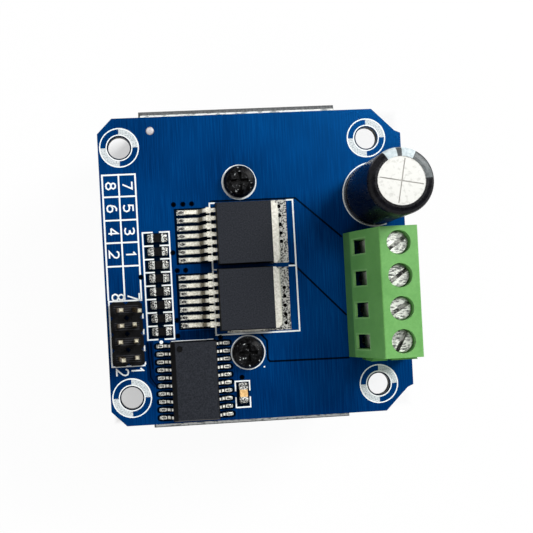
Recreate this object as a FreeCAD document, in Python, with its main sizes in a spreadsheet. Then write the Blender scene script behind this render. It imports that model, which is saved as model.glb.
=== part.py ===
# Dual half-bridge driver board for one DC motor, in millimetres, with +Z up.
# The origin is the centre of the four mounting holes, on the underside of the board.
# +X runs from the pin header to the screw terminals, and +Y to the capacitor's end of the board.

import FreeCAD, Part
import math
import os
import Sketcher

HEADER_ROWS = 4
RESISTOR_COUNT = 8
TERMINAL_WAYS = 4
HOLE_SIDES = 8
SLEEVE_RIM_STEPS = 3
VENT_CROSS_ANGLE = 90

# How far the middle of a round lies from the corner that it replaces, as a share of its radius.
ROUND_SHARE = 0.293

# Share of the terminal block's back wall that is hollow behind each window.
PIT_SHARE = 0.58

# Slack for finding edges by where they lie, in millimetres, and by where they point.
PLACE_SLACK = 0.001
EDGE_SLACK = 0.01
DIRECTION_MATCH = 0.999

DIMENSIONS = [
    # board outline, measured from the mounting holes, which stand clear of the heatsink's sides
    ("board_thickness", 1.6),
    ("hole_room_x", 8.0),
    ("hole_spacing_y", 40.0),
    ("mount_hole_radius", 1.75),
    ("margin_left", 3.4),
    ("margin_right", 5.68),
    ("margin_top", 4.7),
    ("margin_bottom", 4.46),
    ("left_corner_cut", 2.4),
    ("right_corner_cut", 3.65),
    ("right_step_width", 0.95),
    ("right_step_drop", 0.4),
    ("lead_hole_clearance", 0.12),
    # heatsink, its pad and its two screws, with X from the left mounting holes
    ("sink_inset_x", 3.35),
    ("sink_y", 0.4),
    ("sink_width", 32.0),
    ("sink_length", 51.2),
    ("sink_base", 4.4),
    ("fin_height", 16.1),
    ("fin_count", 9),
    ("fin_root", 1.6),
    ("fin_tip", 1.1),
    ("sink_edge_chamfer", 0.3),
    ("pad_thickness", 0.8),
    ("pad_side_inset", 0.25),
    ("pad_end_inset", 0.5),
    ("pad_shift_y", -0.25),
    ("fixing_x", 18.92),
    ("fixing_spacing", 27.5),
    ("fixing_radius", 1.5),
    ("fixing_length", 6.2),
    ("fixing_clearance", 0.15),
    ("fixing_tap_play", 0.05),
    ("fixing_tip_bevel", 0.3),
    ("fixing_head_radius", 2.55),
    ("fixing_head_height", 1.9),
    ("fixing_head_round", 1.1),
    ("recess_span", 2.9),
    ("recess_arm", 0.6),
    ("recess_depth", 1.1),
    # power chips, with X from the left mounting holes
    ("driver_upper_x", 19.1),
    ("driver_upper_y", 5.36),
    ("driver_lower_x", 18.9),
    ("driver_lower_y", -5.1),
    ("driver_length", 8.95),
    ("driver_width", 9.96),
    ("driver_height", 4.4),
    ("driver_parting", 2.65),
    ("driver_top_draft", 6.0),
    ("driver_base_draft", 4.0),
    ("driver_lead_pitch", 1.27),
    ("driver_lead_count", 7),
    ("driver_lead_width", 0.6),
    ("driver_lead_thickness", 0.5),
    ("driver_lead_embed", 0.8),
    ("driver_lead_straight", 1.75),
    ("driver_lead_slope", 0.95),
    ("driver_foot_length", 2.1),
    ("driver_lead_bend", 0.24),
    ("driver_bar_width", 0.92),
    ("driver_bar_start", 0.7),
    ("driver_bar_length", 0.75),
    ("tab_thickness", 1.27),
    ("tab_width", 9.8),
    ("tab_reach", 1.13),
    ("tab_overlap", 0.35),
    ("tab_corner", 0.5),
    ("slug_width", 7.4),
    ("slug_length", 7.4),
    # buffer chip, with X from the left mounting holes
    ("buffer_x", 10.15),
    ("buffer_y", -17.72),
    ("buffer_length", 12.8),
    ("buffer_width", 7.45),
    ("buffer_standoff", 0.12),
    ("buffer_parting", 1.3),
    ("buffer_height", 2.5),
    ("buffer_draft", 12.0),
    ("buffer_bevel", 0.55),
    ("buffer_dimple_radius", 0.5),
    ("buffer_dimple_depth", 0.12),
    ("buffer_dimple_inset_x", 1.45),
    ("buffer_dimple_inset_y", 1.25),
    ("buffer_lead_pitch", 1.27),
    ("buffer_lead_count", 10),
    ("buffer_lead_width", 0.42),
    ("buffer_lead_thickness", 0.26),
    ("buffer_lead_embed", 0.35),
    ("buffer_lead_straight", 0.42),
    ("buffer_lead_slope", 0.22),
    ("buffer_foot_length", 0.82),
    # chip resistors and the ceramic capacitor, with X from the left mounting holes
    ("resistor_x", 5.32),
    ("resistor_top_y", 5.3),
    ("resistor_pitch", 2.135),
    ("resistor_length", 2.0),
    ("resistor_width", 1.25),
    ("resistor_height", 0.5),
    ("resistor_end_length", 0.4),
    ("chip_plating", 0.04),
    ("filter_x", 17.85),
    ("filter_y", -20.2),
    ("filter_length", 2.0),
    ("filter_width", 1.2),
    ("filter_height", 0.95),
    ("filter_end_length", 0.45),
    # pin header, with X from the left mounting holes
    ("header_x", -0.2),
    ("header_y", -9.7),
    ("header_pitch", 2.54),
    ("header_height", 2.5),
    ("header_corner", 0.45),
    ("pin_width", 0.64),
    ("pin_top", 8.5),
    ("pin_tail", 1.5),
    ("pin_point", 0.35),
    ("pin_point_width", 0.3),
    # electrolytic capacitor, with X from the right mounting holes
    ("can_x", 0.85),
    ("can_y", 10.72),
    ("can_radius", 5.0),
    ("can_height", 20.1),
    ("can_rim_bevel", 0.75),
    ("can_foot", 0.3),
    ("sleeve_wall", 0.12),
    ("sleeve_rim_round", 1.02),
    ("sleeve_opening", 3.6),
    ("groove_low", 1.9),
    ("groove_span", 1.0),
    ("groove_depth", 0.45),
    ("seal_radius", 4.1),
    ("seal_height", 2.1),
    ("vent_length", 6.6),
    ("vent_width", 0.16),
    ("vent_depth", 0.12),
    ("vent_turn", 79.0),
    ("can_lead_spacing", 5.0),
    ("can_lead_radius", 0.3),
    ("can_lead_tail", 1.4),
    # screw terminals: their axis from the right mounting holes, then from the board upwards
    ("terminal_x", 1.36),
    ("terminal_y", -5.37),
    ("terminal_pitch", 5.0),
    ("cage_floor_height", 1.0),
    ("cage_depth", 4.6),
    ("cage_width", 3.8),
    ("cage_height", 6.6),
    ("cage_wall", 0.6),
    ("cage_floor", 0.8),
    ("cage_roof", 1.2),
    ("cage_bevel", 0.35),
    ("cage_play", 0.1),
    ("cage_gap", 0.3),
    ("cage_travel", 2.025),
    ("shelf_thickness", 0.7),
    ("clamp_head_radius", 1.75),
    ("clamp_head_height", 1.6),
    ("clamp_head_bevel", 0.15),
    ("clamp_head_depth", 1.45),
    ("clamp_play", 0.1),
    ("clamp_seat_play", 0.05),
    ("clamp_radius", 1.25),
    ("clamp_thread_play", 0.05),
    ("clamp_tip_bevel", 0.35),
    ("clamp_slot_width", 0.6),
    ("clamp_slot_depth", 0.8),
    ("contact_thickness", 0.8),
    ("contact_width", 2.0),
    ("contact_reach", 2.1),
    ("contact_bend", 0.7),
    ("contact_pin_width", 1.0),
    ("contact_pin_tail", 1.6),
    ("contact_slot_play", 0.05),
    ("block_top_margin", 1.1),
    ("block_back_wall", 2.6),
    ("block_knee_height", 2.7),
    ("block_knee_setback", 0.5),
    ("block_front_wall", 1.35),
    ("block_front_height", 8.5),
    ("block_edge_round", 0.25),
    ("window_width", 2.3),
    ("window_low", 3.6),
    ("window_high", 8.5),
    ("mouth_width", 3.4),
    ("mouth_low", 1.2),
    ("mouth_high", 5.0),
    ("mouth_flare", 0.5),
    ("lug_height", 8.0),
    ("lug_reach", 0.55),
    ("lug_flare", 0.3),
    ("lug_back_width", 1.9),
    ("lug_back_setback", 2.4),
    ("lug_front_width", 3.6),
    ("lug_front_setback", 0.9),
    ("lug_play", 0.1),
    # solder on the underside
    ("solder_spread", 0.5),
    ("solder_collar", 0.43),
    ("solder_bevel", 0.42),
]

# How far each header pin's tip leans, along X and along Y, from pin 1 to pin 8.
PIN_LEANS = [
    (0.15, 0.22),
    (0.63, -0.07),
    (0.15, 0.26),
    (0.34, 0.17),
    (0.0, 0.26),
    (0.63, 0.11),
    (0.86, -0.23),
    (0.63, -0.04),
]

# The way each clamp screw's slot points, in degrees from +X, from the capacitor's end.
SLOT_TURNS = [35.0, 35.0, 30.0, 62.0]


class Size:
    """A number together with the expression that gives it from the sheet."""

    def __init__(self, value, text=None):
        self.value = float(value)
        self.text = text or f"({float(value)})"

    def __add__(self, other):
        other = as_size(other)
        return Size(self.value + other.value, f"({self.text} + {other.text})")

    def __sub__(self, other):
        other = as_size(other)
        return Size(self.value - other.value, f"({self.text} - {other.text})")

    def __mul__(self, other):
        other = as_size(other)
        return Size(self.value * other.value, f"({self.text} * {other.text})")

    def __truediv__(self, other):
        other = as_size(other)
        return Size(self.value / other.value, f"({self.text} / {other.text})")

    def __neg__(self):
        return Size(-self.value, f"(-1 * {self.text})")


def as_size(item):
    return item if isinstance(item, Size) else Size(item)


def half_diagonal(width, depth):
    """Radius of the circle through the corners of a rectangle."""
    radius = math.hypot(width.value, depth.value) / 2
    return Size(radius, f"(sqrt({width.text} ^ 2 + {depth.text} ^ 2) / 2)")


doc = FreeCAD.newDocument("motor_driver")
sheet = doc.addObject("Spreadsheet::Sheet", "dims")


class Dimensions:
    """The sheet's sizes by name."""

    def __init__(self):
        self.next_row = 1

    def add(self, name, value):
        sheet.set(f"A{self.next_row}", name)
        sheet.set(f"B{self.next_row}", str(value))
        sheet.setAlias(f"B{self.next_row}", name)
        self.next_row += 1
        setattr(self, name, Size(value, f"dims.{name}"))


d = Dimensions()
for dimension_name, dimension_value in DIMENSIONS:
    d.add(dimension_name, dimension_value)
for pin_number, (lean_x, lean_y) in enumerate(PIN_LEANS, 1):
    d.add(f"pin_lean_x_{pin_number}", lean_x)
    d.add(f"pin_lean_y_{pin_number}", lean_y)
for way_number, slot_turn in enumerate(SLOT_TURNS, 1):
    d.add(f"slot_turn_{way_number}", slot_turn)
doc.recompute()

parts = {}

# Sizes that several pieces share.
board_top = d.board_thickness
half_x = (d.sink_width + d.hole_room_x) / 2
half_y = d.hole_spacing_y / 2
sink_x = d.sink_inset_x + d.sink_width / 2 - half_x
fixing_x = d.fixing_x - half_x
driver_upper_x = d.driver_upper_x - half_x
driver_lower_x = d.driver_lower_x - half_x
buffer_x = d.buffer_x - half_x
resistor_x = d.resistor_x - half_x
filter_x = d.filter_x - half_x
header_x = d.header_x - half_x
can_x = half_x + d.can_x
terminal_x = half_x + d.terminal_x
sink_top = -d.pad_thickness
pin_half = d.pin_width / 2
pin_corner = half_diagonal(d.pin_width, d.pin_width)

# Sizes of the terminal block, from its screw's axis and from the board's top.
cage_front = d.cage_depth / 2
tongue_low = d.cage_floor_height + d.cage_floor + d.cage_travel + d.cage_gap
tongue_high = tongue_low + d.contact_thickness
leg_front = -(cage_front + d.cage_gap)
leg_back = leg_front - d.contact_thickness
leg_x = terminal_x + leg_back + d.contact_thickness / 2
leg_corner = half_diagonal(d.contact_thickness, d.contact_pin_width)
chamber_roof = d.cage_floor_height + d.cage_height + d.cage_travel + d.cage_gap
head_seat = chamber_roof + d.shelf_thickness
block_height = head_seat + d.clamp_head_height + d.clamp_head_depth
block_half_length = d.terminal_pitch * (TERMINAL_WAYS / 2)
recess_radius = d.clamp_head_radius + d.clamp_play
block_top_half = recess_radius + d.block_top_margin
block_back = leg_back - d.block_back_wall
block_front = cage_front + d.cage_gap + d.block_front_wall


def bind(piece, settings):
    """Ties properties of an object to sizes of the sheet."""
    for name, size in settings.items():
        piece.setExpression(name, as_size(size).text)


def place(piece, x=0, y=0, z=0, turn=None):
    """Puts an object at a point, and turns it about +Z."""
    bind(piece, {"Placement.Base.x": x, "Placement.Base.y": y, "Placement.Base.z": z})
    if turn is not None:
        piece.setExpression("Placement.Rotation.Angle", f"{as_size(turn).text} * 1 deg")


def keep(piece, node):
    """Marks an object as a sub-part and gives it its name."""
    piece.Label = node
    parts[node] = piece
    return piece


def new_body(name):
    return doc.addObject("PartDesign::Body", name)


def origin_item(body, role):
    return next(item for item in body.Origin.OriginFeatures if item.Role == role)


def new_sketch(body, name, role, offset=0):
    """An empty sketch on one of the body's own planes, moved along that plane's normal."""
    sketch = body.newObject("Sketcher::SketchObject", name)
    sketch.AttachmentSupport = [(origin_item(body, role), "")]
    sketch.MapMode = "FlatFace"
    bind(sketch, {"AttachmentOffset.Base.z": offset})
    return sketch


def hold(sketch, element, point, x, y):
    """Fixes a point of the sketch at two sizes from its origin."""
    for kind, size in (("DistanceX", as_size(x)), ("DistanceY", as_size(y))):
        index = sketch.addConstraint(Sketcher.Constraint(kind, -1, 1, element, point, size.value))
        sketch.setExpression(f"Constraints[{index}]", size.text)


def add_outline(sketch, corners):
    """A closed outline of straight lines, with each corner held by its own sizes."""
    corners = [(as_size(x), as_size(y)) for x, y in corners]
    points = [FreeCAD.Vector(x.value, y.value, 0) for x, y in corners]
    first = sketch.GeometryCount
    count = len(points)
    for index, point in enumerate(points):
        sketch.addGeometry(Part.LineSegment(point, points[(index + 1) % count]), False)
    for index in range(count):
        after = first + (index + 1) % count
        sketch.addConstraint(Sketcher.Constraint("Coincident", first + index, 2, after, 1))
    for index, (x, y) in enumerate(corners):
        hold(sketch, first + index, 1, x, y)


def add_rectangle(sketch, left, right, low, high):
    add_outline(sketch, [(left, low), (right, low), (right, high), (left, high)])


def add_drilling(sketch, x, y, radius):
    """A small round as an octagon that its circle touches from inside."""
    x, y = as_size(x), as_size(y)
    corner = as_size(radius) / math.cos(math.pi / HOLE_SIDES)
    turns = [math.pi * (2 * side + 1) / HOLE_SIDES for side in range(HOLE_SIDES)]
    add_outline(sketch, [(x + corner * math.cos(turn), y + corner * math.sin(turn))
                         for turn in turns])


def add_circle(sketch, x, y, radius):
    x, y, radius = as_size(x), as_size(y), as_size(radius)
    centre = FreeCAD.Vector(x.value, y.value, 0)
    element = sketch.addGeometry(Part.Circle(centre, FreeCAD.Vector(0, 0, 1), radius.value), False)
    hold(sketch, element, 3, x, y)
    index = sketch.addConstraint(Sketcher.Constraint("Radius", element, radius.value))
    sketch.setExpression(f"Constraints[{index}]", radius.text)


def pad(body, name, sketch, length, symmetric=False, flip=False, draft=None):
    """Adds material over a sketch. A draft makes it narrower as it goes."""
    feature = body.newObject("PartDesign::Pad", name)
    feature.Profile = sketch
    if symmetric:
        feature.SideType = "Symmetric"
    feature.Reversed = flip
    bind(feature, {"Length": length})
    if draft is not None:
        bind(feature, {"TaperAngle": -draft})
    return feature


def pocket(body, name, sketch, depth=None, flip=False, draft=None):
    """Cuts below a sketch, or above it when flipped. Without a depth it cuts all the way."""
    feature = body.newObject("PartDesign::Pocket", name)
    feature.Profile = sketch
    feature.Reversed = flip
    if depth is None:
        feature.Type = "ThroughAll"
    else:
        bind(feature, {"Length": depth})
    if draft is not None:
        bind(feature, {"TaperAngle": -draft})
    return feature


def revolve(body, name, corners):
    """A turned solid about +Z from its half section."""
    sketch = new_sketch(body, f"{name}_section", "XZ_Plane")
    add_outline(sketch, corners)
    feature = body.newObject("PartDesign::Revolution", name)
    feature.Profile = sketch
    feature.ReferenceAxis = (sketch, ["V_Axis"])
    feature.Angle = 360
    return feature


def repeat(body, name, role, count, span, features=None):
    """Repeats features, or else the whole body, whose shape has to be there first."""
    if features is None:
        doc.recompute()
    pattern = body.newObject("PartDesign::LinearPattern", name)
    if features is None:
        pattern.TransformMode = "Whole shape"
    else:
        pattern.Originals = features
    pattern.Direction = (origin_item(body, role), [""])
    bind(pattern, {"Occurrences": count, "Length": span})
    body.Tip = pattern
    return pattern


def edges_of(feature, test):
    """Names of the feature's edges that pass a test of the edge."""
    doc.recompute()
    return [f"Edge{number}" for number, edge in enumerate(feature.Shape.Edges, 1) if test(edge)]


def runs_along(edge, axis):
    if not isinstance(edge.Curve, Part.Line):
        return False
    return abs(getattr(edge.tangentAt(edge.FirstParameter), axis)) > DIRECTION_MATCH


def near(first, second):
    return abs(first - as_size(second).value) < PLACE_SLACK


def dress(body, kind, name, feature, test, size_name, size):
    """Rounds or chamfers the edges of a feature that pass a test."""
    edge_names = edges_of(feature, test)
    result = body.newObject(f"PartDesign::{kind}", name)
    result.Base = (feature, edge_names)
    bind(result, {size_name: size})
    return result


def cut(name, base, tool):
    result = doc.addObject("Part::Cut", name)
    result.Base = base
    result.Tool = tool
    return result


def group(name, members):
    result = doc.addObject("Part::Compound", name)
    result.Links = members
    return result


def block(name, length, width, height, x, y, z):
    """A box centred on x and y that stands at z."""
    length, width = as_size(length), as_size(width)
    result = doc.addObject("Part::Box", name)
    bind(result, {"Length": length, "Width": width, "Height": height})
    place(result, as_size(x) - length / 2, as_size(y) - width / 2, z)
    return result


def header_pin_spot(number):
    """Column and row of a header pin: odd pins on the right, pin 1 nearest the board's lower edge."""
    side = 0.5 if number % 2 else -0.5
    row = (number - 1) // 2 - (HEADER_ROWS - 1) / 2
    return header_x + d.header_pitch * side, d.header_y + d.header_pitch * row


def terminal_row(number):
    """Distance of a clamp from the block's middle, clamp 1 nearest the capacitor."""
    return d.terminal_pitch * ((TERMINAL_WAYS + 1) / 2 - number)


def make_board():
    left = -(half_x + d.margin_left)
    right = half_x + d.margin_right
    top = half_y + d.margin_top
    bottom = -(half_y + d.margin_bottom)
    body = new_body("circuit_board")
    outline = new_sketch(body, "board_outline", "XY_Plane")
    cut_left = left + d.left_corner_cut
    step_x = right - d.right_step_width
    cut_right = step_x - d.right_corner_cut
    add_outline(outline, [
        (cut_left, top),
        (cut_right, top),
        (step_x, top - d.right_corner_cut),
        (right, top - d.right_corner_cut - d.right_step_drop),
        (right, bottom + d.right_corner_cut + d.right_step_drop),
        (step_x, bottom + d.right_corner_cut),
        (cut_right, bottom),
        (cut_left, bottom),
        (left, bottom + d.left_corner_cut),
        (left, top - d.left_corner_cut),
    ])
    pad(body, "board_blank", outline, board_top)

    holes = new_sketch(body, "board_holes", "XY_Plane", board_top)
    for x in (-half_x, half_x):
        for y in (-half_y, half_y):
            add_circle(holes, x, y, d.mount_hole_radius)
    for y in (-d.fixing_spacing / 2, d.fixing_spacing / 2):
        add_circle(holes, fixing_x, y, d.fixing_radius + d.fixing_clearance)
    for number in range(1, 2 * HEADER_ROWS + 1):
        x, y = header_pin_spot(number)
        add_drilling(holes, x, y, pin_corner + d.lead_hole_clearance)
    for side in (-0.5, 0.5):
        lead_y = d.can_y + d.can_lead_spacing * side
        add_drilling(holes, can_x, lead_y, d.can_lead_radius + d.lead_hole_clearance)
    for number in range(1, TERMINAL_WAYS + 1):
        leg_y = d.terminal_y + terminal_row(number)
        add_drilling(holes, leg_x, leg_y, leg_corner + d.lead_hole_clearance)
    pocket(body, "board_drilling", holes)
    keep(body, "circuit_board")


def make_thermal_pad():
    width = d.sink_width - d.pad_side_inset * 2
    length = d.sink_length - d.pad_end_inset * 2
    body = new_body("thermal_pad")
    sketch = new_sketch(body, "pad_outline", "XY_Plane")
    middle = d.sink_y + d.pad_shift_y
    add_rectangle(sketch, sink_x - width / 2, sink_x + width / 2,
                  middle - length / 2, middle + length / 2)
    for y in (-d.fixing_spacing / 2, d.fixing_spacing / 2):
        add_circle(sketch, fixing_x, y, d.fixing_radius + d.fixing_clearance)
    pad(body, "pad_sheet", sketch, d.pad_thickness)
    place(body, z=-d.pad_thickness)
    keep(body, "thermal_pad")


def make_heatsink():
    """One extrusion: a thick base with tapered fins that hang from it."""
    half_width = d.sink_width / 2
    half_length = d.sink_length / 2
    body = new_body("heatsink")
    base = new_sketch(body, "sink_base_outline", "XY_Plane")
    add_rectangle(base, -half_width, half_width, -half_length, half_length)
    pad(body, "sink_slab", base, d.sink_base, flip=True)

    fin = new_sketch(body, "fin_section", "XZ_Plane")
    tip = -(d.sink_base + d.fin_height)
    centre = d.fin_root / 2 - half_width
    add_outline(fin, [
        (centre - d.fin_root / 2, -d.sink_base),
        (centre - d.fin_tip / 2, tip),
        (centre + d.fin_tip / 2, tip),
        (centre + d.fin_root / 2, -d.sink_base),
    ])
    fin_pad = pad(body, "fin", fin, d.sink_length, symmetric=True)
    repeat(body, "fins", "X_Axis", d.fin_count, d.sink_width - d.fin_root, [fin_pad])

    taps = new_sketch(body, "sink_taps", "XY_Plane")
    tap_radius = d.fixing_radius + d.fixing_tap_play
    for y in (-d.fixing_spacing / 2, d.fixing_spacing / 2):
        add_circle(taps, fixing_x - sink_x, y - d.sink_y, tap_radius)
    tap_depth = d.fixing_length - d.board_thickness - d.pad_thickness + d.fixing_clearance
    tapped = pocket(body, "sink_tapping", taps, tap_depth)

    def is_top_edge(edge):
        return near(edge.BoundBox.ZMin, 0) and isinstance(edge.Curve, Part.Line)

    dress(body, "Chamfer", "sink_edges", tapped, is_top_edge, "Size", d.sink_edge_chamfer)
    place(body, sink_x, d.sink_y, sink_top)
    keep(body, "heatsink")


def make_heatsink_screws():
    """Two pan-head screws with a cross recess, as one group."""
    shoulder = d.fixing_head_round
    middle = shoulder * ROUND_SHARE
    body = new_body("heatsink_screws")
    revolve(body, "screw_turned", [
        (0, -d.fixing_length),
        (d.fixing_radius - d.fixing_tip_bevel, -d.fixing_length),
        (d.fixing_radius, -d.fixing_length + d.fixing_tip_bevel),
        (d.fixing_radius, 0),
        (d.fixing_head_radius, 0),
        (d.fixing_head_radius, d.fixing_head_height - shoulder),
        (d.fixing_head_radius - middle, d.fixing_head_height - middle),
        (d.fixing_head_radius - shoulder, d.fixing_head_height),
        (0, d.fixing_head_height),
    ])
    cross = new_sketch(body, "screw_cross", "XY_Plane", d.fixing_head_height)
    arm = d.recess_arm / 2
    span = d.recess_span / 2
    add_outline(cross, [
        (-span, -arm), (-arm, -arm), (-arm, -span), (arm, -span), (arm, -arm), (span, -arm),
        (span, arm), (arm, arm), (arm, span), (-arm, span), (-arm, arm), (-span, arm),
    ])
    pocket(body, "screw_recess", cross, d.recess_depth)
    repeat(body, "screw_pair", "Y_Axis", 2, d.fixing_spacing)
    place(body, fixing_x, -d.fixing_spacing / 2, board_top)
    keep(body, "heatsink_screws")


def make_driver_tab(name, x, y):
    """Metal tab of a power chip: a wide flange outside the plastic, a narrow slug under it."""
    flange_start = d.driver_length / 2 - d.tab_overlap
    flange_end = d.driver_length / 2 + d.tab_reach
    half = d.tab_width / 2
    slug = d.slug_width / 2
    body = new_body(name)
    sketch = new_sketch(body, f"{name}_outline", "XY_Plane")
    add_outline(sketch, [
        (flange_start - d.slug_length, -slug),
        (flange_start, -slug),
        (flange_start, -half),
        (flange_end - d.tab_corner, -half),
        (flange_end, -(half - d.tab_corner)),
        (flange_end, half - d.tab_corner),
        (flange_end - d.tab_corner, half),
        (flange_start, half),
        (flange_start, slug),
        (flange_start - d.slug_length, slug),
    ])
    pad(body, f"{name}_plate", sketch, d.tab_thickness)
    place(body, x, y, board_top)
    return keep(body, name)


def make_driver_leads(name, x, y):
    """A row of leads, each bent down to a flat foot and wider where the tie bar was cut."""
    thickness = d.driver_lead_thickness
    low = d.driver_parting - thickness / 2
    high = low + thickness
    start = d.driver_lead_embed - d.driver_length / 2
    knee = -(d.driver_length / 2 + d.driver_lead_straight)
    heel = knee - d.driver_lead_slope
    toe = heel - d.driver_foot_length
    body = new_body(name)
    sketch = new_sketch(body, f"{name}_section", "XZ_Plane")
    add_outline(sketch, [
        (start, low),
        (knee + thickness / 2, low),
        (heel + thickness / 2, 0),
        (toe, 0),
        (toe, thickness),
        (heel, thickness),
        (knee, high),
        (start, high),
    ])
    strip = pad(body, f"{name}_strip", sketch, d.driver_lead_width, symmetric=True)

    def is_bend(edge):
        if not runs_along(edge, "y"):
            return False
        place_x = edge.CenterOfMass.x
        return heel.value - EDGE_SLACK < place_x < knee.value + thickness.value

    dress(body, "Chamfer", f"{name}_bends", strip, is_bend, "Size", d.driver_lead_bend)
    bar_start = -(d.driver_length / 2 + d.driver_bar_start)
    bar = new_sketch(body, f"{name}_bar_section", "XZ_Plane")
    add_rectangle(bar, bar_start - d.driver_bar_length, bar_start, low, high)
    pad(body, f"{name}_bar", bar, d.driver_bar_width, symmetric=True)
    span = d.driver_lead_pitch * (d.driver_lead_count - 1)
    repeat(body, f"{name}_row", "Y_Axis", d.driver_lead_count, span)
    place(body, x, y - span / 2, board_top)
    return keep(body, name)


def make_driver(which, x, y):
    """A power chip: moulded body, metal tab and leads."""
    tab = make_driver_tab(f"driver_tab_{which}", x, y)
    leads = make_driver_leads(f"driver_leads_{which}", x, y)
    half_length = d.driver_length / 2
    half_width = d.driver_width / 2
    body = new_body(f"driver_mould_{which}")
    sketch = new_sketch(body, f"driver_parting_{which}", "XY_Plane", d.driver_parting)
    add_rectangle(sketch, -half_length, half_length, -half_width, half_width)
    pad(body, f"driver_upper_half_{which}", sketch, d.driver_height - d.driver_parting,
        draft=d.driver_top_draft)
    pad(body, f"driver_lower_half_{which}", sketch, d.driver_parting, flip=True,
        draft=d.driver_base_draft)
    place(body, x, y, board_top)
    metal = group(f"driver_metal_{which}", [tab, leads])
    keep(cut(f"driver_body_{which}", body, metal), f"driver_body_{which}")


def make_buffer_leads():
    """Two rows of gull-wing leads."""
    thickness = d.buffer_lead_thickness
    high = d.buffer_parting + thickness / 2
    low = high - thickness
    start = d.buffer_width / 2 - d.buffer_lead_embed
    knee = d.buffer_width / 2 + d.buffer_lead_straight
    heel = knee + d.buffer_lead_slope
    toe = heel + d.buffer_foot_length
    body = new_body("buffer_leads")
    sketch = new_sketch(body, "buffer_lead_section", "XZ_Plane")
    add_outline(sketch, [
        (start, low),
        (knee - thickness / 2, low),
        (heel - thickness / 2, 0),
        (toe, 0),
        (toe, thickness),
        (heel, thickness),
        (knee, high),
        (start, high),
    ])
    pad(body, "buffer_lead", sketch, d.buffer_lead_width, symmetric=True)
    span = d.buffer_lead_pitch * (d.buffer_lead_count - 1)
    repeat(body, "buffer_lead_row", "Y_Axis", d.buffer_lead_count, span)
    other_row = body.newObject("PartDesign::Mirrored", "buffer_lead_rows")
    other_row.TransformMode = "Whole shape"
    other_row.MirrorPlane = (origin_item(body, "YZ_Plane"), [""])
    body.Tip = other_row
    place(body, buffer_x, d.buffer_y - span / 2, board_top)
    return keep(body, "buffer_leads")


def make_buffer():
    """Wide small-outline chip with a bevelled edge and a dimple at its first lead."""
    leads = make_buffer_leads()
    half_width = d.buffer_width / 2
    half_length = d.buffer_length / 2
    body = new_body("buffer_mould")
    sketch = new_sketch(body, "buffer_parting_line", "XY_Plane", d.buffer_parting)
    add_rectangle(sketch, -half_width, half_width, -half_length, half_length)
    pad(body, "buffer_upper_half", sketch, d.buffer_height - d.buffer_parting,
        draft=d.buffer_draft)
    lower = pad(body, "buffer_lower_half", sketch, d.buffer_parting - d.buffer_standoff,
                flip=True, draft=d.buffer_draft)

    def is_bevel_edge(edge):
        if not runs_along(edge, "y"):
            return False
        return near(edge.BoundBox.ZMin, d.buffer_height) and edge.CenterOfMass.x < 0

    dress(body, "Chamfer", "buffer_bevelled", lower, is_bevel_edge, "Size", d.buffer_bevel)
    dimple = new_sketch(body, "buffer_dimple_circle", "XY_Plane", d.buffer_height)
    add_circle(dimple, d.buffer_dimple_inset_x - half_width,
               half_length - d.buffer_dimple_inset_y, d.buffer_dimple_radius)
    pocket(body, "buffer_dimple", dimple, d.buffer_dimple_depth)
    place(body, buffer_x, d.buffer_y, board_top)
    keep(cut("buffer_body", body, leads), "buffer_body")


def make_chip(node, ends_node, length, width, height, end_length, x, y, lengthways_x):
    """A ceramic chip with a plated cap over each end."""
    plating = d.chip_plating
    reach = (length + plating * 2 - end_length) / 2

    def chip_block(name, along, across, tall, shift, lift):
        if lengthways_x:
            return block(name, along, across, tall, x + shift, y, lift)
        return block(name, across, along, tall, x, y + shift, lift)

    ceramic = chip_block(node, length, width, height, as_size(0), board_top + plating)
    caps = []
    for number, side in enumerate((-1, 1), 1):
        cap = chip_block(f"{ends_node}_blank_{number}", end_length, width + plating * 2,
                         height + plating * 2, reach * side, board_top)
        caps.append(cap)
    keep(ceramic, node)
    keep(cut(ends_node, group(f"{ends_node}_pair", caps), ceramic), ends_node)


def make_chips():
    for number in range(1, RESISTOR_COUNT + 1):
        y = d.resistor_top_y - d.resistor_pitch * (number - 1)
        make_chip(f"resistor_{number}", f"resistor_ends_{number}", d.resistor_length,
                  d.resistor_width, d.resistor_height, d.resistor_end_length,
                  resistor_x, y, True)
    make_chip("filter_capacitor", "filter_capacitor_ends", d.filter_length, d.filter_width,
              d.filter_height, d.filter_end_length, filter_x, d.filter_y, False)


def make_header_base():
    """Eight joined cells, each an octagon round the square hole of its pin."""
    half = d.header_pitch / 2
    inner = half - d.header_corner
    body = new_body("header_base")
    sketch = new_sketch(body, "header_cell_outline", "XY_Plane")
    add_outline(sketch, [
        (-inner, -half), (inner, -half), (half, -inner), (half, inner),
        (inner, half), (-inner, half), (-half, inner), (-half, -inner),
    ])
    add_rectangle(sketch, -pin_half, pin_half, -pin_half, pin_half)
    cell = pad(body, "header_cell", sketch, d.header_height)
    repeat(body, "header_column", "Y_Axis", HEADER_ROWS, d.header_pitch * (HEADER_ROWS - 1), [cell])
    repeat(body, "header_columns", "X_Axis", 2, d.header_pitch)
    place(body, header_x - half, d.header_y - d.header_pitch * ((HEADER_ROWS - 1) / 2), board_top)
    keep(body, "header_base")


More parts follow.
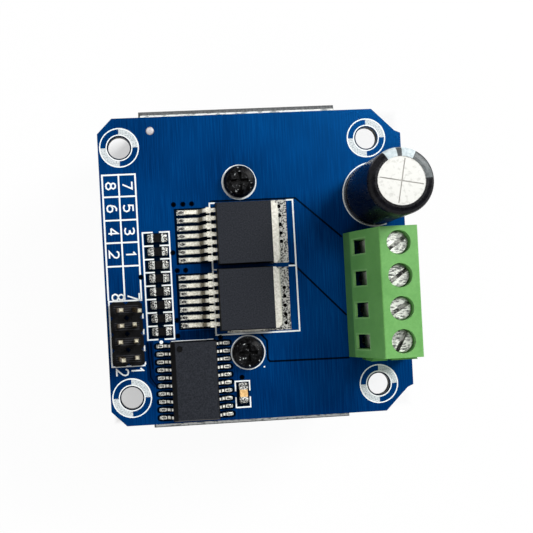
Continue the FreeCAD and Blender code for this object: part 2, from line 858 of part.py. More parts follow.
def make_header_pin(number):
    """A square pin: straight through the base, then leaning to its tapered point."""
    name = f"header_pin_{number}"
    lean_at_tip = (getattr(d, f"pin_lean_x_{number}"), getattr(d, f"pin_lean_y_{number}"))
    body = new_body(name)

    def section(label, height, half, lean):
        sketch = new_sketch(body, f"{name}_{label}", "XY_Plane", height)
        x, y = lean
        add_rectangle(sketch, x - half, x + half, y - half, y + half)
        return sketch

    upright = (as_size(0), as_size(0))
    base_top = board_top + d.header_height
    tip = board_top + d.pin_top
    shank = section("tail", -d.pin_tail, pin_half, upright)
    pad(body, f"{name}_shank", shank, base_top + d.pin_tail)
    sections = [
        section("root", base_top, pin_half, upright),
        section("shoulder", tip - d.pin_point, pin_half, lean_at_tip),
        section("point", tip, d.pin_point_width / 2, lean_at_tip),
    ]
    for low, high, label in zip(sections, sections[1:], ("leaning", "tapered")):
        loft = body.newObject("PartDesign::AdditiveLoft", f"{name}_{label}")
        loft.Profile = low
        loft.Sections = [high]
        loft.Ruled = True
    x, y = header_pin_spot(number)
    place(body, x, y)
    return keep(body, name)


def make_can():
    """Deep-drawn can: rolled groove above the seal, bevelled rim, scored vent in its top."""
    radius = d.can_radius - d.sleeve_wall
    top = d.can_height - d.sleeve_wall
    groove_middle = d.groove_low + d.groove_span / 2
    body = new_body("capacitor_can")
    turned = revolve(body, "can_turned", [
        (0, d.can_foot + d.seal_height),
        (d.seal_radius, d.can_foot + d.seal_height),
        (d.seal_radius, d.can_foot),
        (radius, d.can_foot),
        (radius, d.groove_low),
        (radius - d.groove_depth, groove_middle),
        (radius, d.groove_low + d.groove_span),
        (radius, top),
        (0, top),
    ])

    def is_rim(edge):
        return near(edge.BoundBox.ZMin, top)

    dress(body, "Chamfer", "can_rim", turned, is_rim, "Size", d.can_rim_bevel)
    score = new_sketch(body, "can_score_line", "XY_Plane", top)
    add_rectangle(score, -d.vent_length / 2, d.vent_length / 2,
                  -d.vent_width / 2, d.vent_width / 2)
    line = pocket(body, "can_score", score, d.vent_depth)
    cross = body.newObject("PartDesign::PolarPattern", "can_vent")
    cross.Originals = [line]
    cross.Axis = (origin_item(body, "Z_Axis"), [""])
    cross.Angle = VENT_CROSS_ANGLE
    cross.Occurrences = 2
    body.Tip = cross
    place(body, can_x, d.can_y, board_top, d.vent_turn)
    return keep(body, "capacitor_can")


def make_sleeve(can):
    """Shrunk sleeve that follows the can's groove and laps over its rim in narrow bands."""
    middle = d.can_height / 2
    rim = []
    for step in range(SLEEVE_RIM_STEPS + 1):
        turn = math.pi / 2 * step / SLEEVE_RIM_STEPS
        rim.append((d.can_radius - d.sleeve_rim_round * (1 - math.cos(turn)),
                    d.can_height - d.sleeve_rim_round * (1 - math.sin(turn))))
    body = new_body("sleeve_blank")
    revolve(body, "sleeve_turned", [
        (d.seal_radius, 0),
        (d.can_radius, 0),
        (d.can_radius, d.groove_low),
        (d.can_radius - d.groove_depth, d.groove_low + d.groove_span / 2),
        (d.can_radius, d.groove_low + d.groove_span),
        *rim,
        (d.sleeve_opening, d.can_height),
        (d.sleeve_opening, middle),
        (d.seal_radius, middle),
    ])
    place(body, can_x, d.can_y, board_top)
    keep(cut("capacitor_sleeve", body, can), "capacitor_sleeve")


def make_capacitor():
    make_sleeve(make_can())
    leads = []
    for number, side in enumerate((-0.5, 0.5), 1):
        lead = doc.addObject("Part::Cylinder", f"can_lead_{number}")
        bind(lead, {"Radius": d.can_lead_radius,
                    "Height": d.can_lead_tail + board_top + d.can_foot + d.seal_height})
        place(lead, can_x, d.can_y + d.can_lead_spacing * side, -d.can_lead_tail)
        leads.append(lead)
    pair = keep(group("capacitor_leads", leads), "capacitor_leads")
    plug = doc.addObject("Part::Cylinder", "seal_blank")
    bind(plug, {"Radius": d.seal_radius, "Height": d.seal_height})
    place(plug, can_x, d.can_y, board_top + d.can_foot)
    keep(cut("capacitor_seal", plug, pair), "capacitor_seal")
    return pair


def make_terminal_housing():
    """Green moulding: a sloping back with windows, screw wells on top, wire mouths in front."""
    body = new_body("terminal_housing")
    section = new_sketch(body, "block_section", "XZ_Plane")
    add_outline(section, [
        (block_back, 0),
        (block_front, 0),
        (block_front, d.block_front_height),
        (block_top_half, block_height),
        (-block_top_half, block_height),
        (block_back + d.block_knee_setback, d.block_knee_height),
    ])
    pad(body, "block_blank", section, block_half_length * 2, symmetric=True)

    first = -d.terminal_pitch * ((TERMINAL_WAYS - 1) / 2)
    chamber = new_sketch(body, "chamber_outline", "XY_Plane")
    chamber_half = d.cage_width / 2 + d.cage_play
    chamber_back = -(cage_front + d.cage_play * 2)
    add_rectangle(chamber, chamber_back, cage_front + d.cage_gap,
                  first - chamber_half, first + chamber_half)
    leg_slot = new_sketch(body, "leg_slot_outline", "XY_Plane")
    slot_half = d.contact_width / 2 + d.contact_slot_play
    add_rectangle(leg_slot, leg_back, chamber_back, first - slot_half, first + slot_half)
    pit = new_sketch(body, "pit_outline", "XY_Plane")
    add_rectangle(pit, leg_back - d.block_back_wall * PIT_SHARE, chamber_back,
                  first - d.window_width / 2, first + d.window_width / 2)
    well = new_sketch(body, "well_circle", "XY_Plane", block_height)
    add_circle(well, 0, first, recess_radius)
    shank_hole = new_sketch(body, "shank_circle", "XY_Plane", block_height)
    add_circle(shank_hole, 0, first, d.clamp_radius + d.clamp_play)
    window = new_sketch(body, "window_outline", "YZ_Plane")
    add_rectangle(window, first - d.window_width / 2, first + d.window_width / 2,
                  d.window_low, d.window_high)
    mouth = new_sketch(body, "mouth_outline", "YZ_Plane")
    add_rectangle(mouth, first - d.mouth_width / 2, first + d.mouth_width / 2,
                  d.mouth_low, d.mouth_high)
    hollows = [
        pocket(body, "chamber", chamber, chamber_roof, flip=True),
        pocket(body, "leg_slot", leg_slot, tongue_high, flip=True),
        pocket(body, "pit", pit, d.window_high, flip=True),
        pocket(body, "well", well, block_height - head_seat),
        pocket(body, "shank_way", shank_hole, block_height - chamber_roof + d.cage_gap),
        pocket(body, "window", window),
        pocket(body, "mouth", mouth, flip=True),
    ]
    repeat(body, "ways", "Y_Axis", TERMINAL_WAYS, d.terminal_pitch * (TERMINAL_WAYS - 1), hollows)

    end = -block_half_length
    back_left = block_back + d.lug_back_setback
    front_right = block_front - d.lug_front_setback
    lug_spans = [(back_left, back_left + d.lug_back_width),
                 (front_right - d.lug_front_width, front_right)]
    lugs = new_sketch(body, "lug_outlines", "XY_Plane")
    keyways = new_sketch(body, "keyway_outlines", "XY_Plane")
    for left, right in lug_spans:
        add_outline(lugs, [
            (left, end),
            (left - d.lug_flare, end - d.lug_reach),
            (right + d.lug_flare, end - d.lug_reach),
            (right, end),
        ])
        add_outline(keyways, [
            (left - d.lug_play, -end),
            (left - d.lug_flare - d.lug_play, -end - d.lug_reach - d.lug_play),
            (right + d.lug_flare + d.lug_play, -end - d.lug_reach - d.lug_play),
            (right + d.lug_play, -end),
        ])
    pad(body, "lugs", lugs, d.lug_height)
    keyed = pocket(body, "keyways", keyways, d.lug_height, flip=True)

    def is_mouth_edge(edge):
        box = edge.BoundBox
        if box.ZMin < d.mouth_low.value - EDGE_SLACK:
            return False
        if box.ZMax > d.mouth_high.value + EDGE_SLACK:
            return False
        return near(box.XMin, block_front) and near(box.XMax, block_front)

    flared = dress(body, "Chamfer", "mouth_flares", keyed, is_mouth_edge, "Size", d.mouth_flare)

    def is_long_edge(edge):
        return runs_along(edge, "y") and near(edge.CenterOfMass.z, block_height)

    dress(body, "Fillet", "block_edges", flared, is_long_edge, "Radius", d.block_edge_round)
    place(body, terminal_x, d.terminal_y, board_top)
    keep(body, "terminal_housing")


def make_terminal_contacts():
    """Four bent contacts: a tongue under each screw, a leg in the block and a pin in the board."""
    body = new_body("terminal_contacts")
    section = new_sketch(body, "contact_section", "XZ_Plane")
    add_outline(section, [
        (leg_back, 0),
        (leg_front, 0),
        (leg_front, tongue_low),
        (d.contact_reach, tongue_low),
        (d.contact_reach, tongue_high),
        (leg_back, tongue_high),
    ])
    strip = pad(body, "contact_strip", section, d.contact_width, symmetric=True)

    def is_bend(edge):
        return (runs_along(edge, "y") and near(edge.CenterOfMass.x, leg_back)
                and near(edge.CenterOfMass.z, tongue_high))

    dress(body, "Fillet", "contact_bend", strip, is_bend, "Radius", d.contact_bend)
    pin = new_sketch(body, "contact_pin_outline", "XY_Plane")
    add_rectangle(pin, leg_back, leg_front, -d.contact_pin_width / 2, d.contact_pin_width / 2)
    pad(body, "contact_pin", pin, board_top + d.contact_pin_tail, flip=True)
    span = d.terminal_pitch * (TERMINAL_WAYS - 1)
    repeat(body, "contact_row", "Y_Axis", TERMINAL_WAYS, span)
    place(body, terminal_x, d.terminal_y - span / 2, board_top)
    return keep(body, "terminal_contacts")


def make_terminal_cage(number):
    """A square metal tube that the wire passes through, tapped in its roof."""
    name = f"terminal_cage_{number}"
    half = d.cage_width / 2
    body = new_body(name)
    section = new_sketch(body, f"{name}_section", "YZ_Plane")
    add_rectangle(section, -half, half, 0, d.cage_height)
    add_rectangle(section, d.cage_wall - half, half - d.cage_wall,
                  d.cage_floor, d.cage_height - d.cage_roof)
    tube = pad(body, f"{name}_tube", section, d.cage_depth, symmetric=True)

    def is_outer_edge(edge):
        return runs_along(edge, "x") and near(abs(edge.CenterOfMass.y), half)

    dress(body, "Chamfer", f"{name}_bevels", tube, is_outer_edge, "Size", d.cage_bevel)
    thread = new_sketch(body, f"{name}_thread", "XY_Plane", d.cage_height)
    add_circle(thread, 0, 0, d.clamp_radius + d.clamp_thread_play)
    pocket(body, f"{name}_tapped", thread, d.cage_height / 2)
    place(body, terminal_x, d.terminal_y + terminal_row(number), board_top + d.cage_floor_height)
    keep(body, name)


def make_terminal_screw(number):
    """A slotted cheese-head screw whose tip bears on the contact's tongue."""
    name = f"terminal_screw_{number}"
    length = head_seat - tongue_high
    height = d.clamp_head_height - d.clamp_seat_play
    body = new_body(name)
    revolve(body, f"{name}_turned", [
        (0, -length),
        (d.clamp_radius - d.clamp_tip_bevel, -length),
        (d.clamp_radius, -length + d.clamp_tip_bevel),
        (d.clamp_radius, 0),
        (d.clamp_head_radius, 0),
        (d.clamp_head_radius, height - d.clamp_head_bevel),
        (d.clamp_head_radius - d.clamp_head_bevel, height),
        (0, height),
    ])
    slot = new_sketch(body, f"{name}_slot_outline", "XY_Plane", height)
    reach = d.clamp_head_radius + d.clamp_play
    add_rectangle(slot, -reach, reach, -d.clamp_slot_width / 2, d.clamp_slot_width / 2)
    pocket(body, f"{name}_slot", slot, d.clamp_slot_depth)
    place(body, terminal_x, d.terminal_y + terminal_row(number),
          board_top + head_seat + d.clamp_seat_play, getattr(d, f"slot_turn_{number}"))
    keep(body, name)


def make_solder_row(name, x, y, lead_radius, count, span):
    """A row of eight-sided solder drops under the board, bevelled at their tips."""
    height = d.solder_collar + d.solder_bevel
    body = new_body(name)
    foot = new_sketch(body, f"{name}_foot", "XY_Plane")
    add_drilling(foot, 0, 0, lead_radius + d.solder_spread)
    drop = pad(body, f"{name}_drop", foot, height, flip=True)

    def is_tip_edge(edge):
        return near(edge.BoundBox.ZMax, -height)

    dress(body, "Chamfer", f"{name}_tip", drop, is_tip_edge, "Size", d.solder_bevel)
    repeat(body, f"{name}_drops", "Y_Axis", count, span)
    place(body, x, y)
    return body


def make_solder(pins, can_leads, contacts):
    """Solder round every lead that comes through the board."""
    joints = []
    column = d.header_pitch * (HEADER_ROWS - 1)
    for number in (1, 2):
        x, y = header_pin_spot(number)
        blank = make_solder_row(f"header_solder_{number}", x, y, pin_corner, HEADER_ROWS, column)
        leads = group(f"header_solder_leads_{number}", pins[number - 1::2])
        joints.append(cut(f"header_joints_{number}", blank, leads))
    blank = make_solder_row("can_solder", can_x, d.can_y - d.can_lead_spacing / 2,
                             d.can_lead_radius, 2, d.can_lead_spacing)
    joints.append(cut("can_joints", blank, can_leads))
    span = d.terminal_pitch * (TERMINAL_WAYS - 1)
    blank = make_solder_row("terminal_solder", leg_x, d.terminal_y - span / 2, leg_corner,
                             TERMINAL_WAYS, span)
    joints.append(cut("terminal_joints", blank, contacts))
    keep(group("solder_joints", joints), "solder_joints")


def check_document():
    """Stops on a failed object, on a cut that removes nothing and on a bad sub-part."""
    for item in doc.Objects:
        if "Invalid" in item.State or "Error" in item.State:
            raise RuntimeError(f"{item.Label} failed: {item.State}")
        if item.TypeId == "PartDesign::Pocket":
            before = item.BaseFeature.Shape.Volume
            if item.Shape.Volume > before - PLACE_SLACK:
                raise RuntimeError(f"{item.Label} cuts nothing")
    for node, piece in parts.items():
        if piece.Shape.isNull() or not piece.Shape.isValid() or not piece.Shape.Solids:
            raise RuntimeError(f"{node} has no valid solid")


def export_parts():
    os.makedirs("parts", exist_ok=True)
    for node, piece in parts.items():
        piece.Shape.exportStep(f"parts/{node}.step")
        print(node, len(piece.Shape.Solids), round(piece.Shape.Volume, 3))


make_board()
make_thermal_pad()
make_heatsink()
make_heatsink_screws()
make_driver("upper", driver_upper_x, d.driver_upper_y)
make_driver("lower", driver_lower_x, d.driver_lower_y)
make_buffer()
make_chips()
make_header_base()
header_pins = [make_header_pin(number) for number in range(1, 2 * HEADER_ROWS + 1)]
can_leads = make_capacitor()
make_terminal_housing()
terminal_contacts = make_terminal_contacts()
for way in range(1, TERMINAL_WAYS + 1):
    make_terminal_cage(way)
    make_terminal_screw(way)
make_solder(header_pins, can_leads, terminal_contacts)
doc.recompute()
check_document()
export_parts()
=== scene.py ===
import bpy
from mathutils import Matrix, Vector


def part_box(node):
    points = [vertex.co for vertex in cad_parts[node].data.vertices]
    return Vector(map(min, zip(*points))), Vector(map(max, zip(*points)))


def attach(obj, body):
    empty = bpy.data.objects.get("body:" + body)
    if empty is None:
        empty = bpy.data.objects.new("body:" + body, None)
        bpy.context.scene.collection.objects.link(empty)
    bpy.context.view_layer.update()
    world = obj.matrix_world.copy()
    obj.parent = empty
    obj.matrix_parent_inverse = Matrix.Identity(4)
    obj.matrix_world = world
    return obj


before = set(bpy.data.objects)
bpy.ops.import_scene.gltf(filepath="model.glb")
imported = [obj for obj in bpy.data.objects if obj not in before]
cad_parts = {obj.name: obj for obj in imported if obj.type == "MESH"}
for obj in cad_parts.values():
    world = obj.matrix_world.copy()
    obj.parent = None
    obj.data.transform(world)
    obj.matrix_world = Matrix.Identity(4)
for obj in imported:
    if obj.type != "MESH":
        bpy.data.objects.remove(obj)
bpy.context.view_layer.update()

import math

import bmesh
import bpy
from mathutils import Quaternion, Vector

# Lengths are written in millimetres and turned into metres with MM.
MM = 0.001
BODY = "module"

BOARD_TOP = 1.6
LEAD_PITCH = 1.27

# Centres of the pieces on the board, as x and y, with the chips' heights and their leads in a row.
DRIVERS = {"upper": (-0.9, 5.36), "lower": (-1.1, -5.1)}
DRIVER_HEIGHT = 4.4
DRIVER_LEADS = 7
BUFFER = (-9.85, -17.72)
BUFFER_HEIGHT = 2.5
BUFFER_LEADS = 10
RESISTOR_X = -14.68
RESISTOR_PITCH = 2.135
RESISTOR_YS = [5.3 - RESISTOR_PITCH * number for number in range(8)]
FILTER = (-2.15, -20.2)
CAN = (20.85, 10.72)
MOUNTING_HOLES = [(-20, -20), (-20, 20), (20, -20), (20, 20)]
HEADER = (-20.2, -9.7)
HEADER_PITCH = 2.54
CAN_TOP = BOARD_TOP + 20.1
TERMINAL = (21.36, -5.37)
TERMINAL_PITCH = 5.0
CLAMP_HEAD_TOP = 13.825

# Painted shade in the hollows of the solder: reach from the chip's middle, half width and half
# height.
DRIVER_HOLLOW = (9.85, 0.46, 0.25)
BUFFER_HOLLOW = (5.35, 0.28, 0.12)
BUFFER_LEAD_HOLLOW = (5.2, 0.3, 0.13)

# Angles about the can's axis, in degrees, of the marks on its sleeve and of a painted reflection
# on its rim, and the step of its dashes.
STRIPE = (61.0, 121.0)
DASHES = (87.0, 97.0)
RIM_REFLECTION = (4.0, 60.0)
DASH_PITCH = 6.5

# How far prints and pads sink into the board, and how far each kind stands above it.
SINK = 0.01
INK = 0.018
THIN_INK = 0.016
BARE = 0.004
DIM = 0.002
VIA_RIM = 0.03
VIA_HOLE = 0.035
TAB_VIA_HOLE = 0.075
PAD = 0.03
TAB_PAD = 0.06

# Widths of the printed lines.
LINE = 0.24
TABLE_LINE = 0.26

# How much higher each stroke of a digit lies than the one before, so that none share a face.
STROKE_STEP = 0.003


def rgb(red, green, blue):
    """A screen colour, 0 to 255, as the linear colour that the shader takes."""
    linear = []
    for part in (red, green, blue):
        share = part / 255
        linear.append(share / 12.92 if share <= 0.04045 else ((share + 0.055) / 1.055) ** 2.4)
    return (*linear, 1.0)


# Materials

# Ranges of a noise's value: where most of it lies, and a narrower one for a clearer grain.
USUAL = (0.3, 0.7)
SOFT = (0.35, 0.65)


def connect(tree, value, socket):
    """Gives a socket a value or another node's output."""
    if isinstance(value, bpy.types.NodeSocket):
        tree.links.new(value, socket)
    else:
        socket.default_value = value


def add_node(tree, kind, values, **settings):
    """A node with these settings, its inputs given by number or name."""
    node = tree.nodes.new(kind)
    for name, value in settings.items():
        setattr(node, name, value)
    for key, value in values.items():
        connect(tree, value, node.inputs[key])
    return node


class Paint:
    """A material under construction, with short calls that add and join its nodes."""

    def __init__(self, name, **shader):
        self.material = bpy.data.materials.new(name)
        self.material.use_nodes = True
        self.tree = self.material.node_tree
        self.shader = self.tree.nodes["Principled BSDF"]
        self.where = self.tree.nodes.new("ShaderNodeTexCoord").outputs["Object"]
        for socket, value in shader.items():
            self.set(socket.replace("_", " "), value)

    def set(self, socket, value):
        """Gives one of the shader's sockets a value or another node's output."""
        sockets = {item.name.lower(): item for item in self.shader.inputs}
        connect(self.tree, value, sockets[socket.lower()])

    def add(self, kind, values, **settings):
        """A node of this material, its inputs given by number or name."""
        return add_node(self.tree, kind, values, **settings)

    def noise(self, size, stretch=(1, 1, 1), detail=3.0, roughness=0.55):
        """Noise whose grains are about this many millimetres wide, longer along stretch."""
        scale = [1 / (size * MM * along) for along in stretch]
        place = self.add("ShaderNodeMapping", {"Vector": self.where, "Scale": scale})
        grain = self.add("ShaderNodeTexNoise", {"Vector": place.outputs[0], "Scale": 1.0,
                                                "Detail": detail, "Roughness": roughness})
        return grain.outputs["Fac"]

    def ramp(self, value, low, high, start=0.0, end=1.0):
        """A smooth run from start to end while the value goes from low to high."""
        step = self.add("ShaderNodeMapRange", {0: value, 1: low, 2: high, 3: start, 4: end},
                        interpolation_type="SMOOTHSTEP")
        return step.outputs[0]

    def maths(self, operation, first, second=0.0):
        return self.add("ShaderNodeMath", {0: first, 1: second}, operation=operation).outputs[0]

    def mix(self, share, first, second):
        """First colour where the share is 0, second where it is 1."""
        node = self.add("ShaderNodeMix", {0: share, 6: first, 7: second}, data_type="RGBA")
        return node.outputs[2]

    def shades(self, grain, dark, light, contrast=SOFT):
        """A colour that goes from dark to light with the grain, within this range of it."""
        return self.mix(self.ramp(grain, *contrast), dark, light)

    def roughen(self, grain, low, high):
        """Roughness that goes from low to high with the grain."""
        self.set("Roughness", self.ramp(grain, *USUAL, low, high))

    def axis(self, letter, start=0.0):
        """One coordinate of the place on the object, in millimetres from start."""
        parts = self.add("ShaderNodeSeparateXYZ", {0: self.where})
        along = self.maths("MULTIPLY", parts.outputs[letter], 1 / MM)
        return self.maths("SUBTRACT", along, start)

    def flat_place(self, centre):
        """The place on the object seen from above, from a centre given in millimetres."""
        shifted = self.add("ShaderNodeVectorMath",
                           {0: self.where, 1: (centre[0] * MM, centre[1] * MM, 0.0)},
                           operation="SUBTRACT")
        flat = self.add("ShaderNodeVectorMath", {0: shifted.outputs[0], 1: (1.0, 1.0, 0.0)},
                        operation="MULTIPLY")
        return flat.outputs[0]

    def between(self, value, low, high, edge):
        """1 between two values, with soft edges of this width."""
        inside = self.ramp(value, low - edge, low + edge)
        return self.maths("MULTIPLY", inside, self.ramp(value, high - edge, high + edge, 1.0, 0.0))

    def spots(self, centre_x, first_y, reach, half_x, half_y):
        """1 on an oval in the middle of every pad of the rows either side of centre_x."""
        row = self.maths("DIVIDE", self.axis("Y", first_y - LEAD_PITCH / 2), LEAD_PITCH)
        across = self.maths("SUBTRACT", self.maths("FRACT", row), 0.5)
        along = self.maths("SUBTRACT", self.maths("ABSOLUTE", self.axis("X", centre_x)), reach)
        square_x = self.maths("POWER", self.maths("DIVIDE", along, half_x), 2.0)
        square_y = self.maths("POWER", self.maths("DIVIDE", across, half_y / LEAD_PITCH), 2.0)
        return self.ramp(self.maths("ADD", square_x, square_y), 0.6, 1.4, 1.0, 0.0)

    def bump(self, height, depth):
        """Relief this many millimetres deep."""
        node = self.add("ShaderNodeBump", {"Height": height, "Strength": 1.0,
                                           "Distance": depth * MM})
        self.set("Normal", node.outputs[0])


def grained(name, dark, light, size, stretch=(1, 1, 1), rough=(0.4, 0.55), relief=0.01,
            contrast=SOFT, **shader):
    """A material that varies between two colours, with its roughness and relief from the grain."""
    paint = Paint(name, **shader)
    grain = paint.noise(size, stretch)
    paint.set("Base Color", paint.shades(grain, dark, light, contrast))
    paint.roughen(grain, *rough)
    paint.bump(grain, relief)
    return paint.material


def solder_mask(name, deep, plain, shine):
    """Solder mask with the fine streaks of the brushed copper under it, on a glass fibre board."""
    paint = Paint(name, specular_ior_level=shine, specular_tint=rgb(24, 140, 235))
    streak = paint.noise(0.16, (1, 40, 1), detail=2.0)
    patch = paint.noise(16.0, detail=2.0)
    share = paint.maths("ADD", paint.ramp(streak, *USUAL, 0.0, 0.4),
                        paint.ramp(patch, *USUAL, 0.0, 0.6))
    mask = paint.mix(share, deep, plain)
    layers = paint.noise(0.12, (8, 8, 1), detail=2.0)
    fibre = paint.shades(layers, rgb(52, 50, 36), rgb(92, 88, 66))
    height = paint.axis("Z")
    edge = paint.between(height, 0.05, BOARD_TOP - 0.05, 0.02)
    paint.set("Base Color", paint.mix(edge, mask, fibre))
    gloss = paint.ramp(streak, *USUAL, 0.2, 0.3)
    paint.set("Roughness", paint.maths("ADD", gloss, paint.maths("MULTIPLY", edge, 0.35)))
    paint.bump(paint.noise(0.5, (1, 3, 1)), 0.006)
    return paint.material


def chip_case(name, height):
    """Moulding compound: matt grey grain on top, with painted shade making the sides and the
    dimple nearly black.
    """
    paint = Paint(name, specular_ior_level=0.12)
    skin = paint.noise(0.2, detail=4.0, roughness=0.7)
    # Painted shade: a lighter grey on top, and nearly black on the sides and in the dimple.
    top = paint.shades(skin, rgb(20, 23, 29), rgb(46, 49, 56), USUAL)
    side = paint.shades(skin, rgb(2, 2, 3), rgb(6, 6, 8), USUAL)
    face = paint.ramp(paint.axis("Z", BOARD_TOP + height), -0.1, -0.03)
    paint.set("Base Color", paint.mix(face, side, top))
    paint.roughen(skin, 0.5, 0.7)
    paint.bump(skin, 0.014)
    return paint.material


def driver_lead_metal():
    """Tinned leads: pale at the feet and by the body, with painted shade making the slope between
    them brown.
    """
    paint = Paint("driver_lead_metal", metallic=0.35)
    grain = paint.noise(0.22, detail=3.0)
    tin = paint.shades(grain, rgb(206, 202, 185), rgb(246, 244, 231))
    # Painted shade on the slope of each lead, darkened to brown.
    slope = paint.between(paint.axis("Z", BOARD_TOP), 0.7, 2.2, 0.2)
    slope_shade = paint.shades(grain, rgb(58, 54, 44), rgb(150, 142, 120))
    paint.set("Base Color", paint.mix(slope, tin, slope_shade))
    paint.roughen(grain, 0.3, 0.45)
    paint.bump(grain, 0.015)
    return paint.material


def buffer_lead_metal():
    """Small tinned leads: painted highlights make their bends and feet pale, and painted shade
    makes the rest nearly black.
    """
    paint = Paint("buffer_lead_metal", metallic=0.35)
    grain = paint.noise(0.2)
    reach = paint.maths("ABSOLUTE", paint.axis("X", BUFFER[0]))
    # Painted highlights make the bends and the feet pale. The rest is painted nearly black as
    # shade, and so is a spot in the hollow of each foot.
    bright = paint.maths("ADD", paint.between(reach, 3.72, 3.98, 0.04),
                         paint.between(reach, 4.16, 4.6, 0.05))
    bright = paint.maths("MAXIMUM", bright, paint.ramp(reach, 4.72, 4.82))
    hollow = paint.spots(BUFFER[0], BUFFER[1] + LEAD_PITCH / 2, *BUFFER_LEAD_HOLLOW)
    bright = paint.maths("SUBTRACT", bright, hollow)
    tin = paint.shades(grain, rgb(236, 235, 224), rgb(252, 251, 244))
    paint.set("Base Color", paint.mix(bright, rgb(22, 22, 20), tin))
    paint.roughen(grain, 0.3, 0.45)
    paint.bump(grain, 0.015)
    return paint.material


def pad_solder(name, centre_x, first_y, reach, half_x, half_y):
    """Bright solder with painted shade in the hollow in the middle of each pad of a chip."""
    paint = Paint(name, metallic=0.35)
    grain = paint.noise(0.2)
    tin = paint.shades(grain, rgb(168, 168, 158), rgb(246, 246, 238), (0.34, 0.5))
    # Painted shade in the hollow of the solder on each pad.
    hollow = paint.spots(centre_x, first_y, reach, half_x, half_y)
    dark = paint.shades(grain, rgb(14, 14, 13), rgb(150, 149, 142), (0.46, 0.6))
    paint.set("Base Color", paint.mix(hollow, tin, dark))
    paint.roughen(grain, 0.25, 0.4)
    paint.bump(grain, 0.02)
    return paint.material


def terminal_plastic():
    """Green moulding, with painted shade under the knee of its sloping back and painted highlights
    on the frames round the windows.
    """
    paint = Paint("terminal_green", specular_ior_level=0.35)
    skin = paint.noise(0.5, detail=4.0, roughness=0.7)
    cloud = paint.noise(6.0, detail=2.0)
    share = paint.maths("ADD", paint.ramp(skin, *USUAL, 0.0, 0.5),
                        paint.ramp(cloud, *USUAL, 0.0, 0.5))
    plain = paint.mix(share, rgb(92, 154, 76), rgb(112, 174, 94))
    height = paint.axis("Z", BOARD_TOP)
    back = paint.ramp(paint.axis("X", TERMINAL[0]), -3.3, -3.1, 1.0, 0.0)
    # Painted shade below the knee of the back, near the board.
    knee = paint.maths("MULTIPLY", back, paint.ramp(height, 2.6, 2.9, 1.0, 0.0))
    row = paint.maths("DIVIDE", paint.axis("Y", TERMINAL[1]), TERMINAL_PITCH)
    across = paint.maths("SUBTRACT", paint.maths("FRACT", row), 0.5)
    across = paint.maths("MULTIPLY", paint.maths("ABSOLUTE", across), TERMINAL_PITCH)
    # Painted highlights on the frames round the windows of the back.
    frame_width = paint.ramp(across, 1.35, 1.45, 1.0, 0.0)
    frame_height = paint.between(height, 3.3, 8.8, 0.05)
    rim = paint.maths("MULTIPLY", back, paint.maths("MULTIPLY", frame_width, frame_height))
    shade = paint.mix(paint.maths("MULTIPLY", knee, 0.55), plain, rgb(28, 70, 40))
    paint.set("Base Color", paint.mix(paint.maths("MULTIPLY", rim, 0.3), shade,
                                      rgb(160, 210, 140)))
    paint.roughen(skin, 0.4, 0.55)
    paint.bump(skin, 0.012)
    return paint.material


def clamp_screw_metal():
    """Bright plated head with turning marks, with painted shade down in its slot and on its shank.
    """
    paint = Paint("clamp_screw_metal", metallic=0.35)
    marks = paint.noise(0.24, (3.0, 1, 1), detail=4.0)
    blot = paint.noise(0.9, detail=2.0)
    share = paint.maths("MULTIPLY", paint.ramp(marks, 0.38, 0.54),
                        paint.ramp(blot, 0.36, 0.46, 0.5, 1.0))
    plate = paint.mix(share, rgb(112, 114, 112), rgb(236, 236, 230))
    # Painted shade down in the slot and on the shank, below the top of the head.
    slot = paint.shades(blot, rgb(24, 26, 22), rgb(176, 177, 170), (0.4, 0.56))
    top = paint.ramp(paint.axis("Z", CLAMP_HEAD_TOP), -0.3, -0.16)
    paint.set("Base Color", paint.mix(top, slot, plate))
    paint.roughen(marks, 0.25, 0.42)
    paint.bump(marks, 0.025)
    return paint.material


def screw_black():
    """Blackened steel of the heatsink's screws, with a few painted glints as pale specks."""
    paint = Paint("black_steel", specular_ior_level=0.1)
    grain = paint.noise(0.4, detail=3.0, roughness=0.65)
    # Painted glints: a few pale specks on the black steel.
    painted_highlight = paint.ramp(paint.noise(0.4, detail=2.0), 0.67, 0.7)
    black = paint.shades(grain, rgb(0, 0, 1), rgb(30, 31, 33), (0.5, 0.6))
    paint.set("Base Color", paint.mix(painted_highlight, black, rgb(200, 204, 204)))
    paint.roughen(grain, 0.25, 0.5)
    paint.bump(grain, 0.05)
    return paint.material


def header_plastic():
    """Black header moulding with painted highlights on fine ridges between its rows of pins."""
    paint = Paint("header_plastic", specular_ior_level=0.1)
    skin = paint.noise(0.3, detail=4.0, roughness=0.7)
    row = paint.maths("DIVIDE", paint.axis("Y", HEADER[1]), HEADER_PITCH)
    between_rows = paint.between(paint.maths("FRACT", row), 0.24, 0.76, 0.05)
    inside = paint.ramp(paint.maths("ABSOLUTE", paint.axis("X", HEADER[0])), 1.8, 2.1, 1.0, 0.0)
    # Painted highlights along fine ridges between the rows of pins.
    wave = paint.maths("FRACT", paint.maths("DIVIDE", paint.axis("Y"), 0.34))
    ridge = paint.maths("MULTIPLY", paint.between(wave, 0.3, 0.7, 0.12),
                        paint.maths("MULTIPLY", between_rows, inside))
    black = paint.shades(skin, rgb(2, 2, 3), rgb(16, 16, 18), USUAL)
    paint.set("Base Color", paint.mix(ridge, black, rgb(54, 55, 60)))
    paint.roughen(skin, 0.4, 0.6)
    paint.bump(skin, 0.03)
    return paint.material


